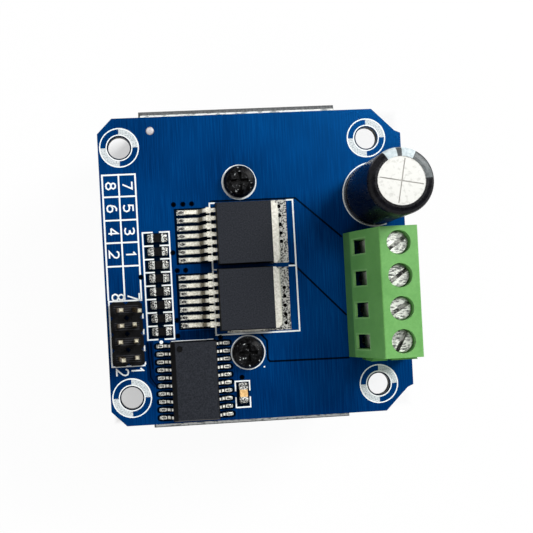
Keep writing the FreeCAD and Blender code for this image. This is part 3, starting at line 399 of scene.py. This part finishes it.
def pin_metal():
    """Plated pins: painted shade on the gold shank and a painted highlight on the pale cut tip."""
    paint = Paint("pin_gold", metallic=0.7)
    grain = paint.noise(0.25)
    # Painted highlight on the cut tip, and painted shade on the shank.
    tip = paint.ramp(paint.axis("Z", BOARD_TOP), 8.12, 8.3)
    shank = paint.shades(grain, rgb(60, 46, 22), rgb(110, 88, 46))
    paint.set("Base Color", paint.mix(tip, shank, rgb(250, 242, 214)))
    paint.roughen(grain, 0.25, 0.4)
    paint.bump(grain, 0.01)
    return paint.material


def can_metal():
    """Drawn aluminium, nearly white, with painted shade making its scored lines a little darker.
    """
    paint = Paint("can_aluminium", metallic=0.1)
    grain = paint.noise(0.7, detail=4.0)
    sheet = paint.shades(grain, rgb(194, 194, 188), rgb(216, 216, 211), (0.32, 0.5))
    # Painted shade down in the scored lines.
    score = paint.between(paint.axis("Z"), CAN_TOP - 0.4, CAN_TOP - 0.16, 0.02)
    paint.set("Base Color", paint.mix(score, sheet, rgb(168, 166, 160)))
    paint.roughen(grain, 0.34, 0.46)
    paint.bump(grain, 0.006)
    return paint.material


def sleeve_film():
    """Shrunk sleeve, black and glossy, with a pale stripe and its dashes at the can's far side,
    and a painted reflection as a grey band on its rim.
    """
    paint = Paint("sleeve_plastic", specular_ior_level=0.14)
    turn = paint.maths("ARCTAN2", paint.axis("Y", CAN[1]), paint.axis("X", CAN[0]))
    degrees = paint.maths("DEGREES", turn)
    stripe = paint.between(degrees, *STRIPE, 0.8)
    dash = paint.between(degrees, *DASHES, 0.8)
    depth = paint.maths("SUBTRACT", CAN_TOP + 0.1, paint.axis("Z"))
    row = paint.maths("FRACT", paint.maths("DIVIDE", depth, DASH_PITCH))
    dash = paint.maths("MULTIPLY", dash, paint.ramp(row, 0.36, 0.4, 1.0, 0.0))
    grain = paint.noise(0.5, (1, 1, 6), detail=3.0)
    film = paint.shades(grain, rgb(4, 4, 8), rgb(16, 16, 22))
    ink = paint.shades(grain, rgb(190, 203, 207), rgb(210, 221, 224))
    # Painted reflection on the rim: a grey band over a span of angles.
    reflection_grey = paint.shades(grain, rgb(92, 97, 98), rgb(112, 118, 119))
    reach = paint.add("ShaderNodeVectorMath", {0: paint.flat_place(CAN)}, operation="LENGTH")
    rim = paint.ramp(paint.maths("MULTIPLY", reach.outputs["Value"], 1 / MM), 4.62, 4.78, 1.0, 0.0)
    painted_highlight = paint.between(degrees, *RIM_REFLECTION, 1.2)
    painted_highlight = paint.maths("MULTIPLY", paint.maths("MULTIPLY", painted_highlight, rim), 0.85)
    film = paint.mix(painted_highlight, film, reflection_grey)
    band = paint.mix(stripe, film, ink)
    paint.set("Base Color", paint.mix(dash, band, rgb(74, 78, 80)))
    paint.roughen(grain, 0.26, 0.32)
    paint.bump(paint.noise(1.6, (1, 1, 3)), 0.02)
    return paint.material


FINISHES = {
    "board_laminate": solder_mask("board_mask", rgb(0, 30, 76), rgb(0, 56, 114), 0.4),
    "pad_silicone": grained("pad_silicone", rgb(150, 156, 156), rgb(248, 249, 247), 0.4,
                            (3, 1, 1), contrast=(0.38, 0.5)),
    "heatsink_metal": grained("heatsink_metal", rgb(62, 64, 66), rgb(96, 98, 99), 0.3, (1, 30, 1),
                              metallic=0.3),
    "black_steel": screw_black(),
    "chip_plastic": chip_case("driver_case", DRIVER_HEIGHT),
    "tinned_metal": driver_lead_metal(),
    "resistor_ceramic": grained("resistor_ceramic", rgb(1, 1, 2), rgb(14, 14, 16), 0.3,
                                specular_ior_level=0.1),
    "chip_ends": grained("chip_ends", rgb(34, 35, 34), rgb(238, 239, 234), 0.2,
                         rough=(0.25, 0.45), contrast=(0.44, 0.54), metallic=0.3),
    "filter_ceramic": grained("filter_ceramic", rgb(214, 168, 104), rgb(246, 206, 142), 0.3),
    "header_plastic": header_plastic(),
    "pin_gold": pin_metal(),
    "can_aluminium": can_metal(),
    "sleeve_plastic": sleeve_film(),
    "seal_rubber": grained("seal_rubber", rgb(18, 18, 18), rgb(30, 30, 30), 0.4),
    "terminal_green": terminal_plastic(),
    "clamp_screw_metal": clamp_screw_metal(),
    "cage_metal": grained("cage_metal", rgb(150, 148, 140), rgb(200, 198, 190), 0.5,
                          metallic=0.85),
    "contact_metal": grained("contact_metal", rgb(190, 190, 184), rgb(228, 228, 222), 0.5,
                             metallic=0.5),
    "silkscreen": grained("silkscreen", rgb(214, 222, 222), rgb(242, 246, 246), 0.16,
                          rough=(0.5, 0.7), contrast=(0.2, 0.5)),
    "copper_pads": grained("copper_pads", rgb(16, 16, 15), rgb(186, 186, 180), 0.26,
                           rough=(0.3, 0.5), relief=0.03, contrast=(0.4, 0.58), metallic=0.3),
    "solder": grained("solder", rgb(20, 21, 21), rgb(240, 240, 234), 0.18, rough=(0.2, 0.36),
                      relief=0.03, contrast=(0.48, 0.56), metallic=0.3),
}
# Nearly black mask for the etched places and for painted shade.
bare_and_shade_mask = solder_mask("bare_and_shade_mask", rgb(0, 3, 10), rgb(0, 8, 22), 0.15)
dim_mask = solder_mask("dim_mask", rgb(0, 16, 48), rgb(0, 30, 72), 0.3)
# Near black for the painted shade inside the via holes.
via_paint = grained("via_paint", rgb(0, 0, 1), rgb(2, 2, 4), 0.2, specular_ior_level=0.0)
speckled_ink = grained("speckled_ink", rgb(148, 156, 160), rgb(212, 219, 221), 0.2,
                       rough=(0.5, 0.7), contrast=(0.3, 0.6))
tab_metal = grained("tab_metal", rgb(216, 213, 200), rgb(244, 242, 232), 0.3, metallic=0.3)
mark_metal = grained("mark_metal", rgb(176, 170, 172), rgb(208, 203, 204), 0.3, metallic=0.2)
driver_solder = {which: pad_solder(f"driver_solder_{which}", x, y, *DRIVER_HOLLOW)
                 for which, (x, y) in DRIVERS.items()}
buffer_solder = pad_solder("buffer_solder", BUFFER[0], BUFFER[1] + LEAD_PITCH / 2,
                           *BUFFER_HOLLOW)
OWN_FINISH = {
    "driver_tab_upper": tab_metal,
    "driver_tab_lower": tab_metal,
    "buffer_leads": buffer_lead_metal(),
    "buffer_body": chip_case("buffer_case", BUFFER_HEIGHT),
}

for name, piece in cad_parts.items():
    for holder in piece.material_slots:
        slot_name = holder.material.name.split(".")[0]
        holder.material = OWN_FINISH.get(name, FINISHES[slot_name])


# Pieces

class Plates:
    """Closed plates and mounds gathered into one mesh, given in millimetres."""

    def __init__(self, low=0.0, high=0.0):
        self.mesh = bmesh.new()
        self.low = low
        self.high = high

    def point(self, x, y, z):
        return self.mesh.verts.new((x * MM, y * MM, z * MM))

    def strip(self, left, right, closed=False):
        """A plate between two rows of points, from low to high."""
        rows = [[self.point(x, y, z) for x, y in side]
                for side, z in ((left, self.high), (right, self.high),
                                (right, self.low), (left, self.low))]
        self.loft(list(zip(*rows)), closed)

    def loft(self, sections, closed=False):
        """A skin over sections of corners, capped at its ends unless it closes on itself."""
        count = len(sections)
        for index in range(count if closed else count - 1):
            here, there = sections[index], sections[(index + 1) % count]
            for first in range(len(here)):
                second = (first + 1) % len(here)
                self.mesh.faces.new((here[first], here[second], there[second], there[first]))
        if not closed:
            self.mesh.faces.new(sections[0])
            self.mesh.faces.new(list(reversed(sections[-1])))

    def box(self, left, right, front, back):
        self.strip([(left, front), (left, back)], [(right, front), (right, back)])

    def line(self, points, width, closed=False):
        """A line of even width with mitred corners."""
        points = [Vector(point) for point in points]
        count = len(points)
        left, right = [], []
        for index, point in enumerate(points):
            before = points[index - 1] if index or closed else None
            after = points[(index + 1) % count] if index < count - 1 or closed else None
            ways = [(there - here).normalized()
                    for here, there in ((before, point), (point, after))
                    if here is not None and there is not None]
            along = sum(ways, Vector((0, 0))).normalized()
            across = Vector((-along.y, along.x))
            mitre = width / 2 / max(0.35, across.dot(Vector((-ways[0].y, ways[0].x))))
            left.append(tuple(point + across * mitre))
            right.append(tuple(point - across * mitre))
        self.strip(left, right, closed)

    def ring(self, x, y, inner, outer, start=0.0, end=360.0, step=7.5):
        """A flat ring, or a part of one between two angles in degrees."""
        closed = end - start >= 360
        count = max(2, round((end - start) / step))
        turns = [math.radians(start + (end - start) * index / count)
                 for index in range(count if closed else count + 1)]
        self.strip([(x + inner * math.cos(turn), y + inner * math.sin(turn)) for turn in turns],
                   [(x + outer * math.cos(turn), y + outer * math.sin(turn)) for turn in turns],
                   closed)

    def disc(self, x, y, radius, sides=20):
        turns = [2 * math.pi * index / sides for index in range(sides)]
        rims = [[self.point(x + radius * math.cos(turn), y + radius * math.sin(turn), z)
                 for turn in turns] for z in (self.low, self.high)]
        self.loft(rims)

    def mound(self, x, y, half_x, half_y, height, base=BOARD_TOP, squareness=3.2, sides=20,
              rings=4):
        """A domed drop with a rounded rectangular foot."""
        sections = []
        for level in range(rings):
            share = 1 - level / rings
            lift = height * math.sqrt(1 - share ** 2.4)
            section = []
            for index in range(sides):
                turn = 2 * math.pi * index / sides
                cosine, sine = math.cos(turn), math.sin(turn)
                reach = (abs(cosine) ** squareness + abs(sine) ** squareness) ** (-1 / squareness)
                section.append(self.point(x + half_x * share * reach * cosine,
                                          y + half_y * share * reach * sine, base + lift))
            sections.append(section)
        self.loft(sections)

    def fillet(self, near, far, y, half_near, half_far, height, base=BOARD_TOP, turned=False,
               steps=5):
        """Solder that runs down from a lead's end to the end of its pad, along X or Y."""
        sections = []
        for index in range(steps + 1):
            share = index / steps
            along = near + (far - near) * share
            half = half_near + (half_far - half_near) * math.sin(share * math.pi / 2)
            if share > 0.85:
                half *= 0.82
            lift = 0.02 + height * (1 - share) ** 1.8
            profile = [(-half, 0), (-half * 0.8, lift * 0.6), (-half * 0.35, lift),
                       (half * 0.35, lift), (half * 0.8, lift * 0.6), (half, 0)]
            section = []
            for across, rise in profile:
                x, z = (along, y + across), base + rise
                place = (x[1], x[0]) if turned else x
                section.append(self.point(*place, z))
            sections.append(section)
        self.loft(sections)

    def build(self, name, material, slot, smooth=False):
        """The mesh as a piece of the module, with its faces turned outwards."""
        bmesh.ops.recalc_face_normals(self.mesh, faces=self.mesh.faces[:])
        data = bpy.data.meshes.new(name)
        self.mesh.to_mesh(data)
        self.mesh.free()
        data.materials.append(material)
        if smooth:
            data.shade_smooth()
        piece = bpy.data.objects.new(name, data)
        bpy.context.scene.collection.objects.link(piece)
        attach(piece, BODY)


def on_board(height):
    """Plates that stand this far above the board."""
    return Plates(BOARD_TOP - SINK, BOARD_TOP + height)


def lead_rows(centre, count):
    """Y of each lead in a row about a centre."""
    return [centre + LEAD_PITCH * (index - (count - 1) / 2) for index in range(count)]


# Strokes of each digit in a box one unit wide and high, as runs of points.
DIGITS = {
    "1": [[(0.2, 0.78), (0.55, 1.0), (0.55, 0.0)]],
    "2": [[(0.05, 0.78), (0.2, 0.96), (0.5, 1.0), (0.82, 0.94), (0.95, 0.74), (0.85, 0.52),
           (0.05, 0.0), (1.0, 0.0)]],
    "3": [[(0.05, 0.9), (0.4, 1.0), (0.8, 0.94), (0.92, 0.76), (0.8, 0.58), (0.4, 0.52)],
          [(0.4, 0.52), (0.85, 0.46), (0.97, 0.26), (0.82, 0.05), (0.4, 0.0), (0.05, 0.1)]],
    "4": [[(0.75, 0.0), (0.75, 1.0), (0.03, 0.3)], [(0.03, 0.3), (1.0, 0.3)]],
    "5": [[(0.92, 1.0), (0.15, 1.0), (0.1, 0.56), (0.5, 0.62), (0.85, 0.54), (0.97, 0.3),
           (0.82, 0.06), (0.4, 0.0), (0.05, 0.1)]],
    "6": [[(0.85, 0.96), (0.5, 1.0), (0.2, 0.82), (0.05, 0.4), (0.1, 0.12), (0.4, 0.0),
           (0.8, 0.06), (0.96, 0.3), (0.8, 0.54), (0.45, 0.6), (0.1, 0.42)]],
    "7": [[(0.0, 1.0), (1.0, 1.0), (0.35, 0.0)]],
    "8": [[(0.5, 0.53), (0.2, 0.61), (0.1, 0.78), (0.25, 0.96), (0.5, 1.0), (0.75, 0.96),
           (0.9, 0.78), (0.8, 0.61), (0.5, 0.53)],
          [(0.5, 0.53), (0.15, 0.43), (0.02, 0.24), (0.2, 0.04), (0.5, 0.0), (0.8, 0.04),
           (0.98, 0.24), (0.85, 0.43), (0.5, 0.53)]],
}


def write_number(plates, digit, x, y, width, height, stroke):
    """A digit turned a quarter clockwise, so that its top points along +X."""
    top = plates.high
    for run in DIGITS[digit]:
        points = [(x + (across_y - 0.5) * height, y - (across_x - 0.5) * width)
                  for across_x, across_y in run]
        plates.line(points, stroke)
        plates.high += STROKE_STEP
    plates.high = top


def make_silkscreen():
    """White lines: hole rings, outlines of the parts, the pin table and its numbers."""
    ink = on_board(INK)
    for x, y in MOUNTING_HOLES:
        ink.ring(x, y, 1.95, 2.13)
        ink.ring(x, y, 2.98, 3.17)

    # table of the pins
    for x in (-22.95, -20.35, -17.7):
        ink.line([(x, 15.84), (x, -4.3)], TABLE_LINE)
    for y in (15.7, 12.2, 8.45, 4.85, 1.1):
        ink.line([(-22.82, y), (-20.48, y)], TABLE_LINE)
        ink.line([(-20.22, y), (-17.83, y)], TABLE_LINE)
    middles = [(15.7 + 12.2) / 2, (12.2 + 8.45) / 2, (8.45 + 4.85) / 2, (4.85 + 1.1) / 2]
    for row, y in enumerate(middles):
        write_number(ink, str(8 - 2 * row), -21.65, y, 1.15, 1.5, LINE)
        write_number(ink, str(7 - 2 * row), -19.02, y, 1.15, 1.5, LINE)

    # header
    ink.line([(-17.57, -4.45), (-22.9, -4.45), (-22.9, -14.9), (-17.6, -14.9)], LINE)
    for top, bottom in ((-6.6, -7.4), (-9.1, -9.95), (-11.7, -12.6), (-14.3, -14.78)):
        ink.line([(-17.62, top), (-17.62, bottom)], LINE)
    for digit, x, y in (("8", -21.4, -3.85), ("7", -18.95, -3.85), ("2", -21.3, -15.85),
                        ("1", -18.95, -15.6)):
        write_number(ink, digit, x, y, 1.1, 1.85, LINE)

    # resistors
    for x in (-17.0, -12.75):
        ink.line([(x, 6.37), (x, -11.02)], LINE)
    for y in (6.25, 4.1, 1.95, -0.15, -2.3, -4.45, -6.6, -8.75, -10.9):
        ink.line([(-16.88, y), (-15.35, y)], LINE)
        ink.line([(-14.35, y), (-12.87, y)], LINE)

    # power chips
    ink.line([(-5.1, 10.5), (-6.05, 10.5), (-6.05, -10.7), (7.5, -10.7), (7.42, 10.5),
              (6.35, 10.5)], LINE)
    ink.line([(6.25, -0.12), (7.33, -0.12)], LINE)
    ink.line([(-5.93, -0.2), (-5.3, -0.2)], 0.2)

    # buffer, ceramic capacitor, screws and the can
    ink.line([(-13.3, -11.35), (-6.5, -11.35)], 0.2)
    ink.disc(-14.9, -11.35, 0.3)
    for high, low in ((-18.3, -19.9), (-22.5, -20.85)):
        ink.line([(-3.4, low), (-3.4, high), (-1.1, high), (-1.1, low)], 0.22)
    ink.ring(-1.1, 13.7, 2.1, 2.82)
    ink.ring(-1.05, -13.75, 2.62, 2.81)
    ink.ring(20.914, 10.822, 5.09, 5.29, 96, 290)
    ink.disc(1.45, -16.2, 0.14, 10)
    ink.build("silkscreen", FINISHES["silkscreen"], "silkscreen")


def make_hole_marks():
    """Two opposite quarters of each mounting hole's ring, printed solid but thinly."""
    marks = on_board(THIN_INK)
    for x, y in MOUNTING_HOLES:
        for start in (0, 180):
            marks.ring(x, y, 2.12, 2.99, start, start + 90)
    marks.build("hole_marks", speckled_ink, "silkscreen")


def make_bare_and_shaded_areas():
    """Places where the copper is etched away and the mask looks almost black, and painted shade
    under the leads of the chips and inside the mounting holes.
    """
    bare = on_board(BARE)
    # Painted shade under and between the raised leads of the power chips.
    for x, y in DRIVERS.values():
        bare.box(x - 10.9, x - 4.4, y - 4.5, y + 4.5)
    # Painted shade of the wall inside each mounting hole.
    for x, y in MOUNTING_HOLES:
        bare.ring(x, y, 1.76, 1.93)
    bare.box(-16.75, -12.95, -10.75, 6.12)
    # Painted shade under the leads of the buffer.
    for side in (-1, 1):
        for y in lead_rows(BUFFER[1], BUFFER_LEADS):
            bare.mound(BUFFER[0] + side * 4.9, y, 1.4, 0.61, BARE)
    bare.box(-3.25, -1.25, -22.35, -18.45)
    for path in ([(-5.9, 10.82), (7.9, 10.75), (15.2, 4.1)],
                 [(6.4, 0.28), (7.0, 0.15), (15.3, -8.6)],
                 [(1.2, -10.95), (2.1, -12.0), (2.1, -15.0), (2.4, -15.4), (15.4, -15.5)]):
        bare.line(path, 0.3)
    for path in ([(-17.1, -11.3), (-16.85, -16.9), (-16.3, -17.8), (-15.6, -18.8)],
                 [(-16.6, -11.4), (-16.45, -15.6)]):
        bare.line(path, 0.18)
    bare.build("etched_gaps_and_shade", bare_and_shade_mask, "board_laminate")


def make_dim_areas():
    """Areas crossed by fine traces, where the board looks darker blue."""
    dim = on_board(DIM)
    dim.strip([(-17.4, -11.2), (-17.4, -17.3), (-16.3, -18.6)],
              [(-16.2, -11.2), (-16.2, -16.6), (-15.5, -17.4)])
    dim.box(-12.0, -6.1, -11.15, -9.75)
    dim.box(-8.0, -6.1, -0.6, 0.85)
    dim.build("dim_areas", dim_mask, "board_laminate")


VIAS = [(-11.8, 10.55), (-10.3, 10.55), (-8.9, 10.55), (-12.3, 2.85), (-11.75, -0.05),
        (-10.4, -0.05), (-12.2, -8.0), (-12.2, -10.5), (-5.4, -11.1), (-17.6, -0.8),
        (-2.25, -17.7)]
TAB_VIAS = [(5.15, 9.5), (5.2, 8.0), (5.2, 6.6), (5.25, 5.2), (5.3, 3.85), (5.35, -3.6),
            (5.35, -5.0), (5.35, -6.5), (5.35, -7.9), (5.35, -9.3)]


def make_vias():
    """Rings of mask round the small plated holes, and black discs as painted shade inside the
    holes.
    """
    rims = on_board(VIA_RIM)
    dots = on_board(VIA_HOLE)
    # The black discs are painted shade inside the open holes.
    for x, y in VIAS:
        rims.ring(x, y, 0.25, 0.42, step=20)
        dots.disc(x, y, 0.25, 14)
    dots.high = BOARD_TOP + TAB_VIA_HOLE
    for x, y in TAB_VIAS:
        dots.disc(x, y, 0.3, 14)
    rims.build("via_rims", bare_and_shade_mask, "board_laminate")
    dots.build("via_holes", via_paint, "board_laminate")


def make_pads():
    """Tinned copper pads under the leads, chip ends and tabs."""
    pads = on_board(PAD)
    for x, y in DRIVERS.values():
        for row in lead_rows(y, DRIVER_LEADS):
            pads.box(x - 10.5, x - 6.9, row - 0.4, row + 0.4)
    for side in (-1, 1):
        for y in lead_rows(BUFFER[1], BUFFER_LEADS):
            middle = BUFFER[0] + side * 5.3
            pads.mound(middle, y, 0.62, 0.32, 0.05)
    for y in RESISTOR_YS:
        for side in (-1, 1):
            pads.mound(RESISTOR_X + side * 1.1, y, 0.52, 0.66, 0.05, squareness=6)
    for side in (-1, 1):
        pads.mound(FILTER[0], FILTER[1] + side * 1.1, 0.72, 0.56, 0.05, squareness=6)
    pads.high = BOARD_TOP + TAB_PAD
    pads.box(3.2, 6.3, 0.42, 10.55)
    pads.box(-4.0, 6.15, -10.4, -0.25)
    pads.build("tinned_pads", FINISHES["copper_pads"], "copper_pads")


def make_solder():
    """Solder that has run up the ends of the leads and chips."""
    for which, (x, y) in DRIVERS.items():
        drops = Plates()
        for row in lead_rows(y, DRIVER_LEADS):
            drops.fillet(x - 9.2, x - 10.45, row, 0.33, 0.38, 0.36)
        drops.build(f"driver_solder_{which}", driver_solder[which], "solder", smooth=True)
    drops = Plates()
    for side in (-1, 1):
        for row in lead_rows(BUFFER[1], BUFFER_LEADS):
            x = BUFFER[0]
            drops.fillet(x + side * 5.12, x + side * 5.86, row, 0.24, 0.28, 0.2)
    drops.build("buffer_solder", buffer_solder, "solder", smooth=True)
    drops = Plates()
    for x, y in DRIVERS.values():
        drops.fillet(x + 5.56, x + 5.9, y, 4.8, 4.9, 0.4, base=BOARD_TOP + 0.05)
    x, y = DRIVERS["lower"]
    drops.fillet(y - 4.85, y - 5.4, x + 0.3, 3.2, 3.4, 0.3, turned=True)
    drops.build("tab_solder", tab_metal, "solder", smooth=True)
    drops = Plates()
    for y in RESISTOR_YS:
        for side in (-1, 1):
            drops.fillet(RESISTOR_X + side * 1.02, RESISTOR_X + side * 1.58, y, 0.6, 0.62, 0.4)
    for side in (-1, 1):
        drops.fillet(FILTER[1] + side * 1.02, FILTER[1] + side * 1.62, FILTER[0], 0.56, 0.62,
                     0.6, turned=True)
    drops.build("chip_solder", FINISHES["solder"], "solder", smooth=True)


def make_fiducial():
    """Round bare copper mark near the corner, slightly domed with tin."""
    dot = Plates()
    dot.mound(-14.95, 22.5, 0.66, 0.66, 0.06, squareness=2, sides=28)
    dot.build("fiducial_mark", mark_metal, "copper_pads", smooth=True)


make_silkscreen()
make_hole_marks()
make_bare_and_shaded_areas()
make_dim_areas()
make_vias()
make_pads()
make_solder()
make_fiducial()


# Floor, backdrop and light

WHITE = (1, 1, 1, 1)
AMBIENT = 0.3  # strength of the backdrop as a light
CEILING = 0.22  # strength of the backdrop overhead, as the camera and shiny surfaces see it
CEILING_EDGE = (0.25, 0.8)  # upward share of the direction over which the backdrop darkens

FLOOR_HALF = 3.0
FLOOR_GAP = 0.05  # below the fins, in millimetres
FLOOR_GREY = (0.86, 0.86, 0.86, 1)
# The floor shows its own shade in a square round the board and is nearly white outside it.
SQUARE_MIDDLE = (0.0035, 0.001, 0.0)
SQUARE_EDGE = (0.0258, 0.0274)
WHITENESS = (0.35, 0.95)

# Name, place, height, width and power of each lamp, in metres and watts.
LAMPS = [
    ("key_panel", (0.31, 0.22, 0.33), 0.16, 0.16, 1.84),
    ("glare_panel", (0.15, 0.135, 0.48), 0.07, 0.07, 0.46),
    ("strip_panel", (0.02, 0.155, 0.48), 0.07, 0.26, 0.3),
    ("fill_panel", (-0.32, -0.30, 0.36), 0.3, 0.3, 0.78),
]


def light_panel(name, place, height, width, power):
    """A soft square or oblong lamp that points at the middle of the board."""
    data = bpy.data.lights.new(name, "AREA")
    data.shape = "RECTANGLE"
    data.size = width
    data.size_y = height
    data.energy = power
    lamp = bpy.data.objects.new(name, data)
    lamp.location = place
    lamp.rotation_euler = (-Vector(place)).to_track_quat("-Z", "Y").to_euler()
    bpy.context.scene.collection.objects.link(lamp)


def seen_plainly(tree):
    """1 for rays that go straight to the camera or off something shiny or clear."""
    path = add_node(tree, "ShaderNodeLightPath", {})
    total = path.outputs["Is Camera Ray"]
    for name in ("Is Glossy Ray", "Is Transmission Ray"):
        total = add_node(tree, "ShaderNodeMath", {0: total, 1: path.outputs[name]},
                         operation="MAXIMUM").outputs[0]
    return total


def make_world():
    """White round the object and below it, grey overhead, where the studio's ceiling is."""
    world = bpy.data.worlds.new("studio")
    world.use_nodes = True
    bpy.context.scene.world = world
    tree = world.node_tree
    backdrop = tree.nodes["Background"]
    backdrop.inputs["Color"].default_value = WHITE
    place = add_node(tree, "ShaderNodeTexCoord", {})
    direction = add_node(tree, "ShaderNodeSeparateXYZ", {0: place.outputs["Generated"]})
    ceiling = add_node(tree, "ShaderNodeMapRange",
                       {"Value": direction.outputs["Z"], "From Min": CEILING_EDGE[0],
                        "From Max": CEILING_EDGE[1], "To Min": 1.0, "To Max": CEILING},
                       interpolation_type="SMOOTHSTEP")
    strength = add_node(tree, "ShaderNodeMapRange",
                        {"Value": seen_plainly(tree), "To Min": AMBIENT,
                         "To Max": ceiling.outputs[0]})
    connect(tree, strength.outputs[0], backdrop.inputs["Strength"])


def make_floor():
    """A pale floor under the heatsink: white to the camera, with the object's soft shadow."""
    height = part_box("heatsink")[0][2] - FLOOR_GAP * MM
    data = bpy.data.meshes.new("floor")
    half = FLOOR_HALF
    data.from_pydata([(-half, -half, height), (half, -half, height), (half, half, height),
                      (-half, half, height)], [], [(0, 1, 2, 3)])
    floor = bpy.data.objects.new("floor", data)
    bpy.context.scene.collection.objects.link(floor)
    paint = Paint("floor_white", base_color=FLOOR_GREY, roughness=0.9)
    shifted = paint.add("ShaderNodeVectorMath", {0: paint.where, 1: SQUARE_MIDDLE},
                        operation="SUBTRACT")
    reach = paint.add("ShaderNodeVectorMath", {0: shifted.outputs[0]}, operation="ABSOLUTE")
    parts = paint.add("ShaderNodeSeparateXYZ", {0: reach.outputs[0]})
    widest = paint.maths("MAXIMUM", parts.outputs["X"], parts.outputs["Y"])
    cover = paint.ramp(widest, *SQUARE_EDGE, *WHITENESS)
    share = paint.maths("MULTIPLY", seen_plainly(paint.tree), cover)
    glow = paint.add("ShaderNodeEmission", {"Color": WHITE})
    blend = paint.add("ShaderNodeMixShader",
                      {0: share, 1: paint.shader.outputs[0], 2: glow.outputs[0]})
    connect(paint.tree, blend.outputs[0], paint.tree.nodes["Material Output"].inputs["Surface"])
    data.materials.append(paint.material)


make_world()
make_floor()
for lamp_row in LAMPS:
    light_panel(*lamp_row)


# Camera, fitted to the photograph

LENS = 77.648
SENSOR = 36.0
SHIFT = (0.0507, 0.0758)
CLIP = (0.01, 10.0)
CAMERA_PLACE = (-0.017846, -0.00656, 0.185958)
CAMERA_TURN = (0.9987423, 0.0016484, -0.0426518, -0.0263043)

bpy.context.scene.view_settings.view_transform = "Standard"
camera_data = bpy.data.cameras.new("photo_camera")
camera_data.sensor_fit = "HORIZONTAL"
camera_data.sensor_width = SENSOR
camera_data.lens = LENS
camera_data.shift_x, camera_data.shift_y = SHIFT
camera_data.clip_start, camera_data.clip_end = CLIP
camera = bpy.data.objects.new("photo_camera", camera_data)
camera.location = CAMERA_PLACE
camera.rotation_mode = "QUATERNION"
camera.rotation_quaternion = Quaternion(CAMERA_TURN)
bpy.context.scene.collection.objects.link(camera)
bpy.context.scene.camera = camera
